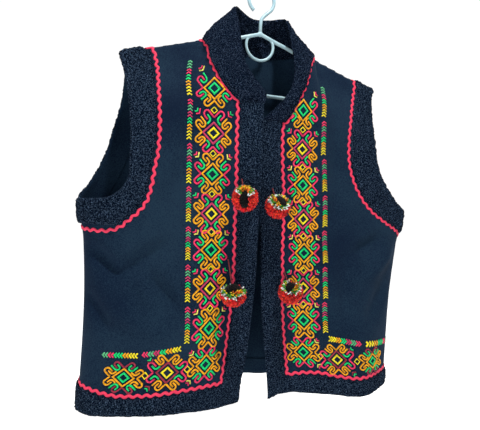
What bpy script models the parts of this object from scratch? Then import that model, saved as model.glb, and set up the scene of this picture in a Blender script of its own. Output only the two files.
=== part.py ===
"""An embroidered folk vest on a dipped wire hanger.

The vest is dark wool cloth with a pile trim along its edges, a standing pile
collar, rickrack braid beside each trim and four yarn pompoms.  It hangs from
its hanger: the origin is where a rod meets the inside of the hook, +Z is up,
the fronts face -Y, and the wearer's right side is at -X.

Every cloth piece is cut in a flat pattern: "across" is the distance along the
cloth from the front edge or the centre back, and "z" is the height.  The form
then carries the pattern onto the hanging shape.
"""

import math

import bmesh
import bpy
from mathutils import Vector
from mathutils.geometry import delaunay_2d_cdt, intersect_point_line

RIGHT, LEFT = -1, 1      # the wearer's sides, as the sign of X
FRONT, BACK = -1, 1      # the faces of the vest, as the sign of Y

# ---- driving dimensions, in metres -----------------------------------------

CLOTH = 0.002            # wool cloth wall
PILE = 0.004             # pile trim wall
COLLAR_WALL = 0.005      # the collar is pile cloth on both faces
BRAID = 0.0016           # thickness of the rickrack
SEAM_GAP = 0.0003        # clearance between neighbouring pieces
SEAM_BLEND = 0.016       # width in which two pieces turn to face the same way

NECK_POINT_Z = -0.105    # where the shoulder seam meets the neck
NECK_HALF = 0.100        # half width of the neck at the shoulder seam
SHOULDER_HALF = 0.228    # half width at the shoulder tips
SHOULDER_DROP = 0.041
UNDERARM_DROP = 0.268    # from the neck point to the underarm edge
VEST_DROP = 0.577        # from the neck point to the hem
BACK_NECK_RISE = 0.005

FRONT_TRIM = 0.038       # width of the trim down each front edge
HEM_TRIM = 0.028
ARM_TRIM = {RIGHT: 0.038, LEFT: 0.044}
BRAID_WIDTH = 0.0045
BRAID_SWING = 0.0016     # how far the rickrack swings to each side
BRAID_WAVE = 0.015       # length of one rickrack wave

SHOULDER_Z = NECK_POINT_Z - SHOULDER_DROP
UNDERARM_Z = NECK_POINT_Z - UNDERARM_DROP
HEM_Z = NECK_POINT_Z - VEST_DROP
SHOULDER_SLOPE = SHOULDER_DROP / (SHOULDER_HALF - NECK_HALF)

# ---- the hanging form: one row for each level of the body ------------------

# drop below the neck point, half widths, depth of the fronts and of the back,
# how far the right front stands proud and the left front falls back,
# and how far each front edge has swung away from the centre line
LEVELS = [
    # drop, right, left,  front, back, proud, right_gap, left_gap
    (0.000, 0.100, 0.100, 0.056, 0.052, 0.000, 0.013, -0.009),
    (0.041, 0.228, 0.228, 0.058, 0.052, 0.006, 0.013, -0.009),
    (0.150, 0.238, 0.240, 0.060, 0.058, 0.010, 0.013, -0.009),
    (0.262, 0.278, 0.287, 0.061, 0.064, 0.010, 0.012, -0.008),
    (0.330, 0.271, 0.275, 0.061, 0.066, 0.010, 0.012, -0.007),
    (0.430, 0.267, 0.265, 0.060, 0.068, 0.010, 0.015, 0.003),
    (0.577, 0.270, 0.258, 0.060, 0.060, 0.012, 0.029, 0.026),
]
DROP, RIGHT_HALF, LEFT_HALF, FRONT_DEPTH, BACK_DEPTH, PROUD, RIGHT_GAP, LEFT_GAP = range(8)

RIDGE = 0.011            # half thickness of the cloth over the hanger wire
OPEN_OUT = 0.125         # below the shoulder line, the drop in which the body fills out
CORNER_POWER = 3.0       # squareness of the body in plan
HEM_TWIST = math.radians(-3.5)

# soft folds that run up from the hem: side, face, centre across, half width,
# how far they stand out, how high they fade, and their lean per metre of height
FOLDS = [
    # side, face, across, half,  out,   top,   lean
    (RIGHT, FRONT, 0.010, 0.045, -0.034, 0.40, 0.10),
    (RIGHT, FRONT, 0.150, 0.055, 0.014, 0.36, -0.10),
    (LEFT, FRONT, 0.055, 0.040, -0.016, 0.34, 0.05),
    (LEFT, FRONT, 0.190, 0.045, 0.022, 0.36, 0.10),
    (RIGHT, BACK, 0.060, 0.050, 0.012, 0.40, 0.08),
    (RIGHT, BACK, 0.175, 0.045, -0.012, 0.36, 0.04),
    (LEFT, BACK, 0.035, 0.040, -0.010, 0.34, 0.02),
    (LEFT, BACK, 0.140, 0.050, 0.013, 0.40, 0.06),
]


def smooth(t):
    t = min(1.0, max(0.0, t))
    return t * t * (3 - 2 * t)


def level(column, z):
    """The value of one column of LEVELS at height z, along a smooth curve."""
    drop = NECK_POINT_Z - z
    rows = LEVELS
    if drop <= 0:
        return rows[0][column]
    for i in range(len(rows) - 1):
        if drop <= rows[i + 1][DROP] or i == len(rows) - 2:
            break
    before, low, high = rows[max(i - 1, 0)], rows[i], rows[i + 1]
    after = rows[min(i + 2, len(rows) - 1)]
    span = high[DROP] - low[DROP]
    t = min(1.0, (drop - low[DROP]) / span)
    slope_low = (high[column] - before[column]) / (high[DROP] - before[DROP])
    slope_high = (after[column] - low[column]) / (after[DROP] - low[DROP])
    t2, t3 = t * t, t * t * t
    return (
        (2 * t3 - 3 * t2 + 1) * low[column]
        + (t3 - 2 * t2 + t) * span * slope_low
        + (3 * t2 - 2 * t3) * high[column]
        + (t3 - t2) * span * slope_high
    )


def half_width(side, z):
    """Half width of the body at height z: the shoulder line, then the side."""
    if z >= SHOULDER_Z:
        return NECK_HALF + (NECK_POINT_Z - z) / SHOULDER_SLOPE
    drop = SHOULDER_Z - z
    flank = level(RIGHT_HALF if side == RIGHT else LEFT_HALF, z)
    start = SHOULDER_HALF
    return start + (max(flank, start) - start) * smooth(drop / 0.10)


def fold_height(side, face, across, z):
    """How far the soft folds push the cloth out at a point of the pattern."""
    out = 0.0
    up = z - HEM_Z
    for fold_side, fold_face, centre, half, depth, top, lean in FOLDS:
        if (fold_side, fold_face) != (side, face) or up > top:
            continue
        away = (across - centre - lean * up) / half
        if abs(away) < 2.5:
            out += depth * math.exp(-away * away) * smooth(1 - up / top)
    return out


SECTION_STEPS = 64
_sections = {}


def section(side, face, z):
    """The line of the cloth at height z, from the front edge or centre back
    to the side: a list of (across, x, y)."""
    key = (side, face, round(z, 6))
    if key in _sections:
        return _sections[key]
    half = half_width(side, z)
    if face == FRONT:
        edge = level(RIGHT_GAP if side == RIGHT else LEFT_GAP, z)
        depth = level(FRONT_DEPTH, z) - side * level(PROUD, z)
    else:
        edge = 0.0
        depth = level(BACK_DEPTH, z)
    twist = HEM_TWIST * smooth((SHOULDER_Z - z) / (SHOULDER_Z - HEM_Z))
    cos_t, sin_t = math.cos(twist), math.sin(twist)
    line, across, before = [], 0.0, None
    for i in range(SECTION_STEPS + 1):
        turn = i / SECTION_STEPS * math.pi / 2
        reach = math.sin(turn) ** (2 / CORNER_POWER)
        body = max(0.0, math.cos(turn)) ** (2 / CORNER_POWER)
        x = edge + (half - edge) * reach
        below = NECK_POINT_Z - SHOULDER_SLOPE * (x - NECK_HALF) - z
        neck = math.sqrt(max(0.0, 1 - (x / NECK_HALF) ** 2))
        filled = 1 - (1 - smooth(below / OPEN_OUT)) * (1 - neck)
        y = (RIDGE + (depth - RIDGE) * filled + fold_height(side, face, x, z)) * body
        x, y = side * x, face * y
        point = (x * cos_t - y * sin_t, x * sin_t + y * cos_t)
        if before:
            across += math.dist(before, point)
        before = point
        line.append((across, *point))
    _sections[key] = line
    return line


def seam_across(side, face, z):
    """Where the side or shoulder seam lies across the pattern."""
    return section(side, face, z)[-1][0]


def on_form(side, face, across, z):
    """The point of the hanging cloth at a point of the pattern."""
    line = section(side, face, z)
    low, high = 0, len(line) - 1
    while high - low > 1:
        middle = (low + high) // 2
        if line[middle][0] <= across:
            low = middle
        else:
            high = middle
    a, b = line[low], line[high]
    t = (across - a[0]) / (b[0] - a[0])
    return Vector((a[1] + (b[1] - a[1]) * t, a[2] + (b[2] - a[2]) * t, z))


def out_of_form(side, face, across, z):
    """The direction that points out of the cloth at a point of the pattern."""
    step = 0.003
    end = seam_across(side, face, z)
    a0, a1 = max(0.0, across - step), min(end, across + step)
    along = on_form(side, face, a1, z) - on_form(side, face, a0, z)
    share = across / end
    top, low = z + step, z - step
    rise = on_form(side, face, share * seam_across(side, face, top), top)
    rise = rise - on_form(side, face, share * seam_across(side, face, low), low)
    out = along.cross(rise) * (-side * face)
    return out.normalized()


def across_at(side, face, x, z):
    """Across the pattern, where the cloth is x from the centre line."""
    line = section(side, face, z)
    for a, b in zip(line, line[1:]):
        if abs(b[1]) >= x:
            t = (x - abs(a[1])) / max(1e-9, abs(b[1]) - abs(a[1]))
            return a[0] + (b[0] - a[0]) * min(1.0, max(0.0, t))
    return line[-1][0]


# ---- flat pattern lines ------------------------------------------------------


def curve_through(points, spacing):
    """Points about one spacing apart on a smooth line through a few points."""
    made = []
    last = len(points) - 1
    for i in range(last):
        p0, p1 = points[max(i - 1, 0)], points[i]
        p2, p3 = points[i + 1], points[min(i + 2, last)]
        steps = max(1, round(math.dist(p1, p2) / spacing))
        for k in range(steps):
            t = k / steps
            made.append(
                tuple(
                    0.5
                    * (
                        2 * b
                        + (c - a) * t
                        + (2 * a - 5 * b + 4 * c - d) * t * t
                        + (3 * b - a - 3 * c + d) * t ** 3
                    )
                    for a, b, c, d in zip(p0, p1, p2, p3)
                )
            )
    made.append(tuple(points[last]))
    return made


# the armhole edge: drop below the neck point, and distance from the centre line
RIGHT_ARMHOLE = [(0.075, 0.222), (0.100, 0.218), (0.156, 0.212), (0.209, 0.211),
                 (0.238, 0.213), (0.257, 0.226), (0.267, 0.248)]
LEFT_ARMHOLE = [(0.075, 0.217), (0.100, 0.211), (0.146, 0.210), (0.175, 0.215),
                (0.201, 0.224), (0.228, 0.242), (0.252, 0.266)]
BACK_ARMHOLE = [(0.065, 0.222), (0.120, 0.226), (0.170, 0.233), (0.210, 0.243),
                (0.245, 0.258)]
# the neck seam of each front, from the top of its trim up towards the shoulder
NECK_BASE = {RIGHT: 0.112, LEFT: 0.132}      # drop to the top of the front trim
RIGHT_NECK = [(0.104, 0.060), (0.092, 0.071), (0.073, 0.081), (0.058, 0.087),
              (0.041, 0.094), (0.020, 0.098)]
LEFT_NECK = [(0.123, 0.038), (0.106, 0.050), (0.087, 0.065), (0.072, 0.074),
             (0.046, 0.086), (0.022, 0.095)]
PATTERN_STEP = 0.027
SHOULDER_STEP = 0.006    # spacing of heights along a shoulder seam, which is flatter
SIDE_STEP = 0.018        # spacing of heights along a side seam


def armhole_line(side, face):
    """The armhole edge of a front or back, from the underarm to the shoulder."""
    rows = BACK_ARMHOLE
    if face == FRONT:
        rows = RIGHT_ARMHOLE if side == RIGHT else LEFT_ARMHOLE
    points = [(seam_across(side, face, UNDERARM_Z) - SEAM_GAP / 2, UNDERARM_Z)]
    for drop, x in reversed(rows):
        z = NECK_POINT_Z - drop
        points.append((across_at(side, face, x, z), z))
    points.append((seam_across(side, face, SHOULDER_Z) - SEAM_GAP / 2, SHOULDER_Z))
    return curve_through(points, PATTERN_STEP)


def neck_base(side):
    return NECK_POINT_Z - NECK_BASE[side]


def neck_line(side):
    """The neck seam of a front, from the trim's top up to the shoulder."""
    points = [(FRONT_TRIM, neck_base(side))]
    for drop, x in RIGHT_NECK if side == RIGHT else LEFT_NECK:
        z = NECK_POINT_Z - drop
        points.append((across_at(side, FRONT, x, z), z))
    points.append((seam_across(side, FRONT, NECK_POINT_Z) - SEAM_GAP / 2, NECK_POINT_Z))
    return curve_through(points, PATTERN_STEP)


def back_neck_line(side):
    """The neck seam of one half of the back, from the shoulder to its centre."""
    points = []
    steps = 6
    for i in range(steps + 1):
        x = NECK_HALF * (1 - i / steps)
        z = NECK_POINT_Z + BACK_NECK_RISE * (1 - (x / NECK_HALF) ** 2)
        end = seam_across(side, BACK, z) - SEAM_GAP / 2
        points.append((min(end, across_at(side, BACK, x, z)), z))
    return points


def seam_heights(low, high, spacing=PATTERN_STEP):
    steps = max(1, round((high - low) / spacing))
    return [low + (high - low) * i / steps for i in range(steps + 1)]


def side_line(side, face, low, high, spacing, through):
    """The side or shoulder seam between two heights, going up, with a point at
    each height where a trim ends on it."""
    through = [z for z in through if low < z < high]
    heights = [
        z for z in seam_heights(low, high, spacing)
        if z in (low, high) or all(abs(z - stop) > spacing * 0.4 for stop in through)
    ]
    return [on_seam(side, face, z) for z in sorted(heights + through)]


def side_seam(side, face):
    """The side seam, from the hem to the underarm."""
    through = [HEM_Z + HEM_TRIM, UNDERARM_Z - ARM_TRIM[side]]
    return side_line(side, face, HEM_Z, UNDERARM_Z, SIDE_STEP, through)


def shoulder_seam(side, face):
    """The shoulder seam, from its tip up to the neck point."""
    through = [SHOULDER_Z + ARM_TRIM[side] * 0.30]
    return side_line(side, face, SHOULDER_Z, NECK_POINT_Z, SHOULDER_STEP, through)


def inside(point, loop):
    """Whether a point of the pattern lies inside a closed line."""
    x, y = point
    found = False
    for (x0, y0), (x1, y1) in zip(loop, loop[1:] + loop[:1]):
        if (y0 > y) != (y1 > y) and x < x0 + (y - y0) / (y1 - y0) * (x1 - x0):
            found = not found
    return found


def clear_of(point, lines, distance):
    """Whether a point of the pattern is at least that far from every line."""
    here = Vector((*point, 0))
    for line in lines:
        for a, b in zip(line, line[1:]):
            a, b = Vector((*a, 0)), Vector((*b, 0))
            near, share = intersect_point_line(here, a, b)
            near = a if share < 0 else b if share > 1 else near
            if (near - here).length < distance:
                return False
    return True


def cut_cloth(outline, seams):
    """Cuts a flat piece into triangles that keep its outline and its seams:
    the points of the pattern, and the triangles as triples of them."""
    lines = [outline + outline[:1], *seams]
    points, index = [], {}

    def number(point):
        key = (round(point[0], 5), round(point[1], 5))
        if key not in index:
            index[key] = len(points)
            points.append(point)
        return index[key]

    edges = set()
    for line in lines:
        numbers = [number(p) for p in line]
        edges.update((a, b) for a, b in zip(numbers, numbers[1:]) if a != b)
    low_x, high_x = min(p[0] for p in outline), max(p[0] for p in outline)
    low_z, high_z = min(p[1] for p in outline), max(p[1] for p in outline)
    row, z = 0, low_z + PATTERN_STEP * 0.5
    while z < high_z:
        x = low_x + PATTERN_STEP * (0.5 if row % 2 else 1.0)
        while x < high_x:
            if inside((x, z), outline) and clear_of((x, z), lines, PATTERN_STEP * 0.55):
                number((x, z))
            x += PATTERN_STEP
        z += PATTERN_STEP * 0.9
        row += 1
    flat = [Vector(p) for p in points]
    flat, _, faces, *_ = delaunay_2d_cdt(flat, list(edges), [], 0, 1e-7)
    flat = [tuple(p) for p in flat]
    kept = []
    for face in faces:
        middle = [sum(flat[i][k] for i in face) / 3 for k in (0, 1)]
        if inside(middle, outline):
            kept.append(tuple(face))
    return flat, kept


# ---- making objects ----------------------------------------------------------

COLOURS = {
    "cloth": (0.018, 0.028, 0.046),
    "pile": (0.013, 0.019, 0.030),
    "braid": (0.72, 0.045, 0.090),
    "yarn": (0.55, 0.030, 0.020),
    "wire": (0.44, 0.60, 0.66),
}
ROUGH = {"cloth": 0.85, "pile": 0.95, "braid": 0.55, "yarn": 0.9, "wire": 0.35}


def material(name):
    found = bpy.data.materials.get(name)
    if found:
        return found
    made = bpy.data.materials.new(name)
    made.use_nodes = True
    shader = made.node_tree.nodes["Principled BSDF"]
    shader.inputs["Base Color"].default_value = (*COLOURS[name], 1)
    shader.inputs["Roughness"].default_value = ROUGH[name]
    shader.inputs["Metallic"].default_value = 0.0
    return made


def add_object(name, mesh_bm, finish, collection):
    mesh = bpy.data.meshes.new(name)
    mesh_bm.to_mesh(mesh)
    mesh_bm.free()
    mesh.materials.append(material(finish))
    made = bpy.data.objects.new(name, mesh)
    collection.objects.link(made)
    mesh.shade_smooth()
    mesh.set_sharp_from_angle(angle=math.radians(40))
    return made


def wall_of(points, outs, faces, inner, outer):
    """A closed wall between two distances out of a surface."""
    mesh_bm = bmesh.new()
    used = sorted({i for face in faces for i in face})
    low = {i: mesh_bm.verts.new(points[i] + outs[i] * inner) for i in used}
    high = {i: mesh_bm.verts.new(points[i] + outs[i] * outer) for i in used}
    rims = {}
    for face in faces:
        mesh_bm.faces.new([high[i] for i in face])
        mesh_bm.faces.new([low[i] for i in reversed(face)])
        for a, b in zip(face, face[1:] + face[:1]):
            if (b, a) in rims:
                del rims[(b, a)]
            else:
                rims[(a, b)] = True
    for a, b in rims:
        mesh_bm.faces.new([high[b], high[a], low[a], low[b]])
    bmesh.ops.recalc_face_normals(mesh_bm, faces=mesh_bm.faces)
    return mesh_bm


class Piece:
    """A flat piece of cloth and its place on the form."""

    def __init__(self, outline, seams, place):
        self.flat, self.faces = cut_cloth(outline, seams)
        self.points, self.outs = [], []
        for across, z in self.flat:
            point, out = place(across, z)
            self.points.append(point)
            self.outs.append(out)

    def wall(self, inner, outer, keep=None):
        """The wall of this piece, or of the part of it that keep chooses."""
        faces = self.faces
        if keep:
            faces = [f for f in faces if keep(*self.middle(f))]
        return wall_of(self.points, self.outs, faces, inner, outer)

    def middle(self, face):
        return [sum(self.flat[i][k] for i in face) / 3 for k in (0, 1)]

    def spot(self, across, z):
        """The point of the cut cloth, and the way out of it, at a pattern point."""
        best, chosen, shares = -9.0, None, None
        for face in self.faces:
            (ax, ay), (bx, by), (cx, cy) = (self.flat[i] for i in face)
            full = (bx - ax) * (cy - ay) - (cx - ax) * (by - ay)
            if abs(full) < 1e-12:
                continue
            b = ((across - ax) * (cy - ay) - (cx - ax) * (z - ay)) / full
            c = ((bx - ax) * (z - ay) - (across - ax) * (by - ay)) / full
            least = min(1 - b - c, b, c)
            if least > best:
                best, chosen, shares = least, face, (1 - b - c, b, c)
            if best >= 0:
                break
        point, out = Vector(), Vector()
        for i, share in zip(chosen, shares):
            point += self.points[i] * share
            out += self.outs[i] * share
        return point, out.normalized()


def placed_half(side, face):
    """How a front, or one half of the back, is carried onto the form."""

    def place(across, z):
        end = seam_across(side, face, z)
        across = min(max(across, 0.0), end)
        out = out_of_form(side, face, across, z)
        near = smooth(1 - (end - across) / SEAM_BLEND)
        if near > 0:
            other = seam_across(side, -face, z)
            seam = out_of_form(side, face, end, z) + out_of_form(side, -face, other, z)
            out = (out * (1 - near) + seam.normalized() * near).normalized()
        return on_form(side, face, across, z), out

    return place


def placed_back(across, z):
    """How the whole back is carried onto the form: across is minus on the
    wearer's right."""
    side = RIGHT if across < 0 else LEFT
    point, out = placed_half(side, BACK)(abs(across), z)
    if abs(across) < 1e-6:
        out.x = 0
        out.normalize()
    return point, out


def flipped(line):
    return [(-a, z) for a, z in line]


# ---- the pieces of cloth -----------------------------------------------------

BRAID_OFF = 0.0008 + BRAID_SWING + BRAID_WIDTH / 2   # its middle, off the trim
BACK_STEP = 0.018        # spacing of the stations along the trims of the back


def in_steps(line, count):
    """The same line with its points evenly spaced, in so many steps."""
    lengths = [0.0]
    for a, b in zip(line, line[1:]):
        lengths.append(lengths[-1] + math.dist(a, b))
    made, k = [], 0
    for i in range(count + 1):
        want = lengths[-1] * i / count
        while k < len(line) - 2 and lengths[k + 1] < want:
            k += 1
        t = (want - lengths[k]) / max(1e-9, lengths[k + 1] - lengths[k])
        made.append(tuple(a + (b - a) * t for a, b in zip(line[k], line[k + 1])))
    return made


def line_length(line):
    return sum(math.dist(a, b) for a, b in zip(line, line[1:]))


def waves_along(length):
    """The stations of a rickrack braid of that length: two to a wave."""
    return 2 * max(1, round(length / BRAID_WAVE))


def beside(base, away, steady=0):
    """A line beside another, station for station, on its left; away is one
    distance, or one for each station.  The last steady stations are all set
    off the same way."""
    made = []
    for i, point in enumerate(base):
        k = min(i, len(base) - 1 - steady)
        a, b = base[max(k - 1, 0)], base[min(k + 1, len(base) - 1)]
        length = math.dist(a, b)
        d = away[i] if isinstance(away, list) else away
        made.append((point[0] - (b[1] - a[1]) / length * d,
                     point[1] + (b[0] - a[0]) / length * d))
    return made


def on_seam(side, face, z, short=0.0):
    """The end of a line at the side or shoulder seam, at height z."""
    return (seam_across(side, face, z) - SEAM_GAP / 2 - short, z)


def beside_armhole(side, face, away, count, short=0.0):
    """A line beside the armhole edge, from the side seam to the shoulder seam."""
    steady = max(2, round(0.030 / line_length(armhole_line(side, face)) * count))
    line = beside(in_steps(armhole_line(side, face), count), away, steady)
    first, last = (away[0], away[-1]) if isinstance(away, list) else (away, away)
    below = on_seam(side, face, UNDERARM_Z - first, short)
    above = on_seam(side, face, SHOULDER_Z + last * 0.30, short)
    return [below] + line[1:-1] + [above]


def beside_hem(side, face, start, up, count, short=0.0):
    """A line above the hem, from a start across the cloth to the side seam."""
    made = []
    for i in range(count + 1):
        z = HEM_Z + (up[i] if isinstance(up, list) else up)
        end = on_seam(side, face, z, short)[0]
        made.append((start + (end - start) * i / count, z))
    return made


def swings(middle, count, waves=True):
    """How far the near and the far edge of a braid lie off, at each station."""
    near, far = [], []
    for i in range(count + 1):
        shift = (BRAID_SWING if i % 2 else -BRAID_SWING) if waves else 0.0
        near.append(middle + shift - BRAID_WIDTH / 2)
        far.append(middle + shift + BRAID_WIDTH / 2)
    return near, far


def closed_loop(near, far):
    return near + list(reversed(far))


def arm_trim_loop(side, face, count):
    """The closed line round the cloth that carries the armhole trim."""
    edge = in_steps(armhole_line(side, face), count)
    seam = beside_armhole(side, face, ARM_TRIM[side], count)
    beyond = 0.05
    loop = [(edge[0][0] + beyond, edge[0][1])] + edge
    loop += [(edge[-1][0] + beyond, edge[-1][1]), (seam[-1][0] + beyond, seam[-1][1])]
    return loop + list(reversed(seam)) + [(seam[0][0] + beyond, seam[0][1])]


def armhole_count(side, face, waves):
    middle = beside(armhole_line(side, face), ARM_TRIM[side] + BRAID_OFF)
    length = line_length(middle)
    return waves_along(length) if waves else round(length / BACK_STEP)


def armhole_braid(side, face, count, waves):
    lines = []
    for away in swings(ARM_TRIM[side] + BRAID_OFF, count, waves):
        line = beside_armhole(side, face, away, count, 0.002)
        # a waved braid stops half a wave short of the shoulder seam
        lines.append(line[:-1] if waves else line)
    return closed_loop(*lines)


def front_outline(side, hem_count, arm_count):
    """The outline of a front, anticlockwise from the foot of its front edge."""
    hem = [(0.0, HEM_Z), (FRONT_TRIM / 2, HEM_Z)]
    hem += every_other(beside_hem(side, FRONT, FRONT_TRIM, 0.0, hem_count))
    flank = side_seam(side, FRONT)
    armhole = every_other(in_steps(armhole_line(side, FRONT), arm_count))
    shoulder = shoulder_seam(side, FRONT)
    neck = list(reversed(neck_line(side)))
    top = [(FRONT_TRIM / 2, neck_base(side)), (0.0, neck_base(side))]
    edge = [(0.0, z) for z in reversed(seam_heights(HEM_Z, neck_base(side)))]
    return hem + flank[1:] + armhole[1:] + shoulder[1:] + neck[1:] + top + edge[1:-1]


def every_other(line):
    """Every second station of a line, with all of them over the shoulder ridge."""
    return line[:-3:2] + line[-3:]


def make_front(side, name, collection):
    """One front: the cloth, its edge and hem trim, its armhole trim, its braid."""
    seam_z, base = HEM_Z + HEM_TRIM, neck_base(side)
    hem_off = HEM_TRIM + BRAID_OFF
    hem_count = waves_along(seam_across(side, FRONT, seam_z) - FRONT_TRIM)
    arm_count = armhole_count(side, FRONT, True)
    # the braid beside the front edge stops short of the braid above the hem
    top = base - 0.004
    foot = HEM_Z + hem_off + BRAID_SWING + BRAID_WIDTH / 2 + 0.0008
    edge_count = waves_along(top - foot)
    edge_base = in_steps([(0.0, top), (0.0, foot)], edge_count)
    neck_base_line = list(reversed(neck_line(side)))
    neck_count = waves_along(line_length(neck_base_line))
    neck_stations = in_steps(neck_base_line, neck_count)
    braids = {}
    near, far = swings(FRONT_TRIM + BRAID_OFF, edge_count)
    braids["edge"] = closed_loop(beside(edge_base, near), beside(edge_base, far))
    near, far = swings(hem_off, hem_count)
    start = FRONT_TRIM + SEAM_GAP
    braids["hem"] = closed_loop(beside_hem(side, FRONT, start, near, hem_count, 0.001),
                                beside_hem(side, FRONT, start, far, hem_count, 0.001))
    braids["armhole"] = armhole_braid(side, FRONT, arm_count, True)
    near, far = swings(BRAID_OFF + 0.001, neck_count)
    near, far = beside(neck_stations, near)[1:-1], beside(neck_stations, far)[1:-1]
    braids["neck"] = closed_loop(near, far)
    edge_seam = [(FRONT_TRIM, base)] + every_other(beside(edge_base, FRONT_TRIM))
    edge_seam += [(FRONT_TRIM, seam_z)]
    hem_seam = every_other(beside_hem(side, FRONT, FRONT_TRIM, HEM_TRIM, hem_count))
    arm_seam = every_other(beside_armhole(side, FRONT, ARM_TRIM[side], arm_count))
    seams = [edge_seam, hem_seam, arm_seam]
    seams += [loop + loop[:1] for loop in braids.values()]
    outline = front_outline(side, hem_count, arm_count)
    piece = Piece(outline, seams, placed_half(side, FRONT))
    arm_loop = arm_trim_loop(side, FRONT, arm_count)
    add_object(f"front_{name}", piece.wall(-CLOTH, 0.0), "cloth", collection)
    add_trim(piece, f"front_trim_{name}",
             lambda a, z: a < FRONT_TRIM or z < seam_z, collection)
    add_trim(piece, f"armhole_trim_front_{name}",
             lambda a, z: inside((a, z), arm_loop), collection)
    for place, loop in braids.items():
        add_braid(piece, f"braid_{place}_{name}", loop, collection)
    return piece


def add_trim(piece, name, keep, collection):
    mesh_bm = piece.wall(SEAM_GAP, SEAM_GAP + PILE, keep)
    add_object(name, mesh_bm, "pile", collection)


def add_braid(piece, name, loop, collection):
    """A braid made from the cloth's own triangles, moved out."""
    mesh_bm = piece.wall(SEAM_GAP, SEAM_GAP + BRAID, lambda a, z: inside((a, z), loop))
    add_object(name, mesh_bm, "braid", collection)


def half_back(side):
    """One half of the back: its outline, its seams and its armhole loops."""
    hem_count = round(seam_across(side, BACK, HEM_Z) / BACK_STEP)
    arm_count = armhole_count(side, BACK, False)
    outline = beside_hem(side, BACK, 0.0, 0.0, hem_count)
    outline += side_seam(side, BACK)[1:]
    outline += in_steps(armhole_line(side, BACK), arm_count)[1:]
    outline += shoulder_seam(side, BACK)[1:]
    outline += back_neck_line(side)[1:]
    middle = HEM_TRIM + BRAID_OFF
    return {
        "outline": outline,
        "hem_seam": beside_hem(side, BACK, 0.0, HEM_TRIM, hem_count),
        "hem_near": beside_hem(side, BACK, 0.0, middle - BRAID_WIDTH / 2, hem_count, 0.001),
        "hem_far": beside_hem(side, BACK, 0.0, middle + BRAID_WIDTH / 2, hem_count, 0.001),
        "arm_seam": beside_armhole(side, BACK, ARM_TRIM[side], arm_count),
        "arm_loop": arm_trim_loop(side, BACK, arm_count),
        "arm_braid": armhole_braid(side, BACK, arm_count, False),
    }


def make_back(collection):
    """The back: the cloth, its hem and armhole trims, and its braid."""
    seam_z = HEM_Z + HEM_TRIM
    left, right = half_back(LEFT), half_back(RIGHT)
    mirrored = {key: flipped(line) for key, line in right.items()}

    def across_both(key):
        return list(reversed(mirrored[key])) + left[key][1:]

    outline = left["outline"] + list(reversed(mirrored["outline"]))[1:-1]
    neck = back_neck_line(LEFT) + flipped(reversed(back_neck_line(RIGHT)))[1:]
    braids = {
        "hem": closed_loop(across_both("hem_near"), across_both("hem_far")),
        "neck": closed_loop(beside(neck, BRAID_OFF - BRAID_WIDTH / 2)[1:-1],
                            beside(neck, BRAID_OFF + BRAID_WIDTH / 2)[1:-1]),
        "armhole_left": left["arm_braid"],
        "armhole_right": mirrored["arm_braid"],
    }
    seams = [across_both("hem_seam"), left["arm_seam"], mirrored["arm_seam"]]
    seams += [loop + loop[:1] for loop in braids.values()]
    piece = Piece(outline, seams, placed_back)
    add_object("back", piece.wall(-CLOTH, 0.0), "cloth", collection)
    add_trim(piece, "hem_trim_back", lambda a, z: z < seam_z, collection)
    for name, loop in (("left", left["arm_loop"]), ("right", mirrored["arm_loop"])):
        add_trim(piece, f"armhole_trim_back_{name}",
                 lambda a, z, loop=loop: inside((a, z), loop), collection)
    for place, loop in braids.items():
        add_braid(piece, f"back_braid_{place}", loop, collection)
    return piece


# ---- the collar --------------------------------------------------------------

# the free edge, from the top of the front trim round to the centre back:
# distance out from the centre plane, distance forward, height over the neck point,
# and the share of the neck seam from the trim's top to the shoulder or centre back
RIGHT_COLLAR = [
    # out,    fore,  height, seam, part
    (0.010, 0.067, -0.094, 0.12, FRONT),
    (0.026, 0.060, -0.070, 0.30, FRONT),
    (0.036, 0.050, -0.046, 0.46, FRONT),
    (0.040, 0.040, -0.022, 0.62, FRONT),
    (0.042, 0.029, 0.004, 0.78, FRONT),
    (0.045, 0.018, 0.030, 0.90, FRONT),
    (0.048, 0.005, 0.056, 1.00, FRONT),
    (0.044, -0.015, 0.066, 0.25, BACK),
    (0.028, -0.033, 0.068, 0.60, BACK),
]
LEFT_COLLAR = [
    (0.004, 0.049, -0.118, 0.12, FRONT),
    (0.022, 0.050, -0.099, 0.30, FRONT),
    (0.038, 0.048, -0.078, 0.46, FRONT),
    (0.048, 0.041, -0.050, 0.62, FRONT),
    (0.050, 0.032, -0.016, 0.78, FRONT),
    (0.048, 0.020, 0.020, 0.90, FRONT),
    (0.048, 0.004, 0.056, 1.00, FRONT),
    (0.044, -0.015, 0.066, 0.25, BACK),
    (0.028, -0.033, 0.068, 0.60, BACK),
]
COLLAR_BACK = (-0.040, 0.068)        # forward and height, at the centre back
COLLAR_ROWS = 3
COLLAR_BELLY = 0.006                 # how far the collar bows out between its edges


def along(line, share):
    """The point at a share of the length of a flat line."""
    lengths = [0.0]
    for a, b in zip(line, line[1:]):
        lengths.append(lengths[-1] + math.dist(a, b))
    want = lengths[-1] * share
    for k in range(len(line) - 1):
        if lengths[k + 1] >= want or k == len(line) - 2:
            t = (want - lengths[k]) / (lengths[k + 1] - lengths[k])
            return tuple(a + (b - a) * t for a, b in zip(line[k], line[k + 1]))


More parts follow.
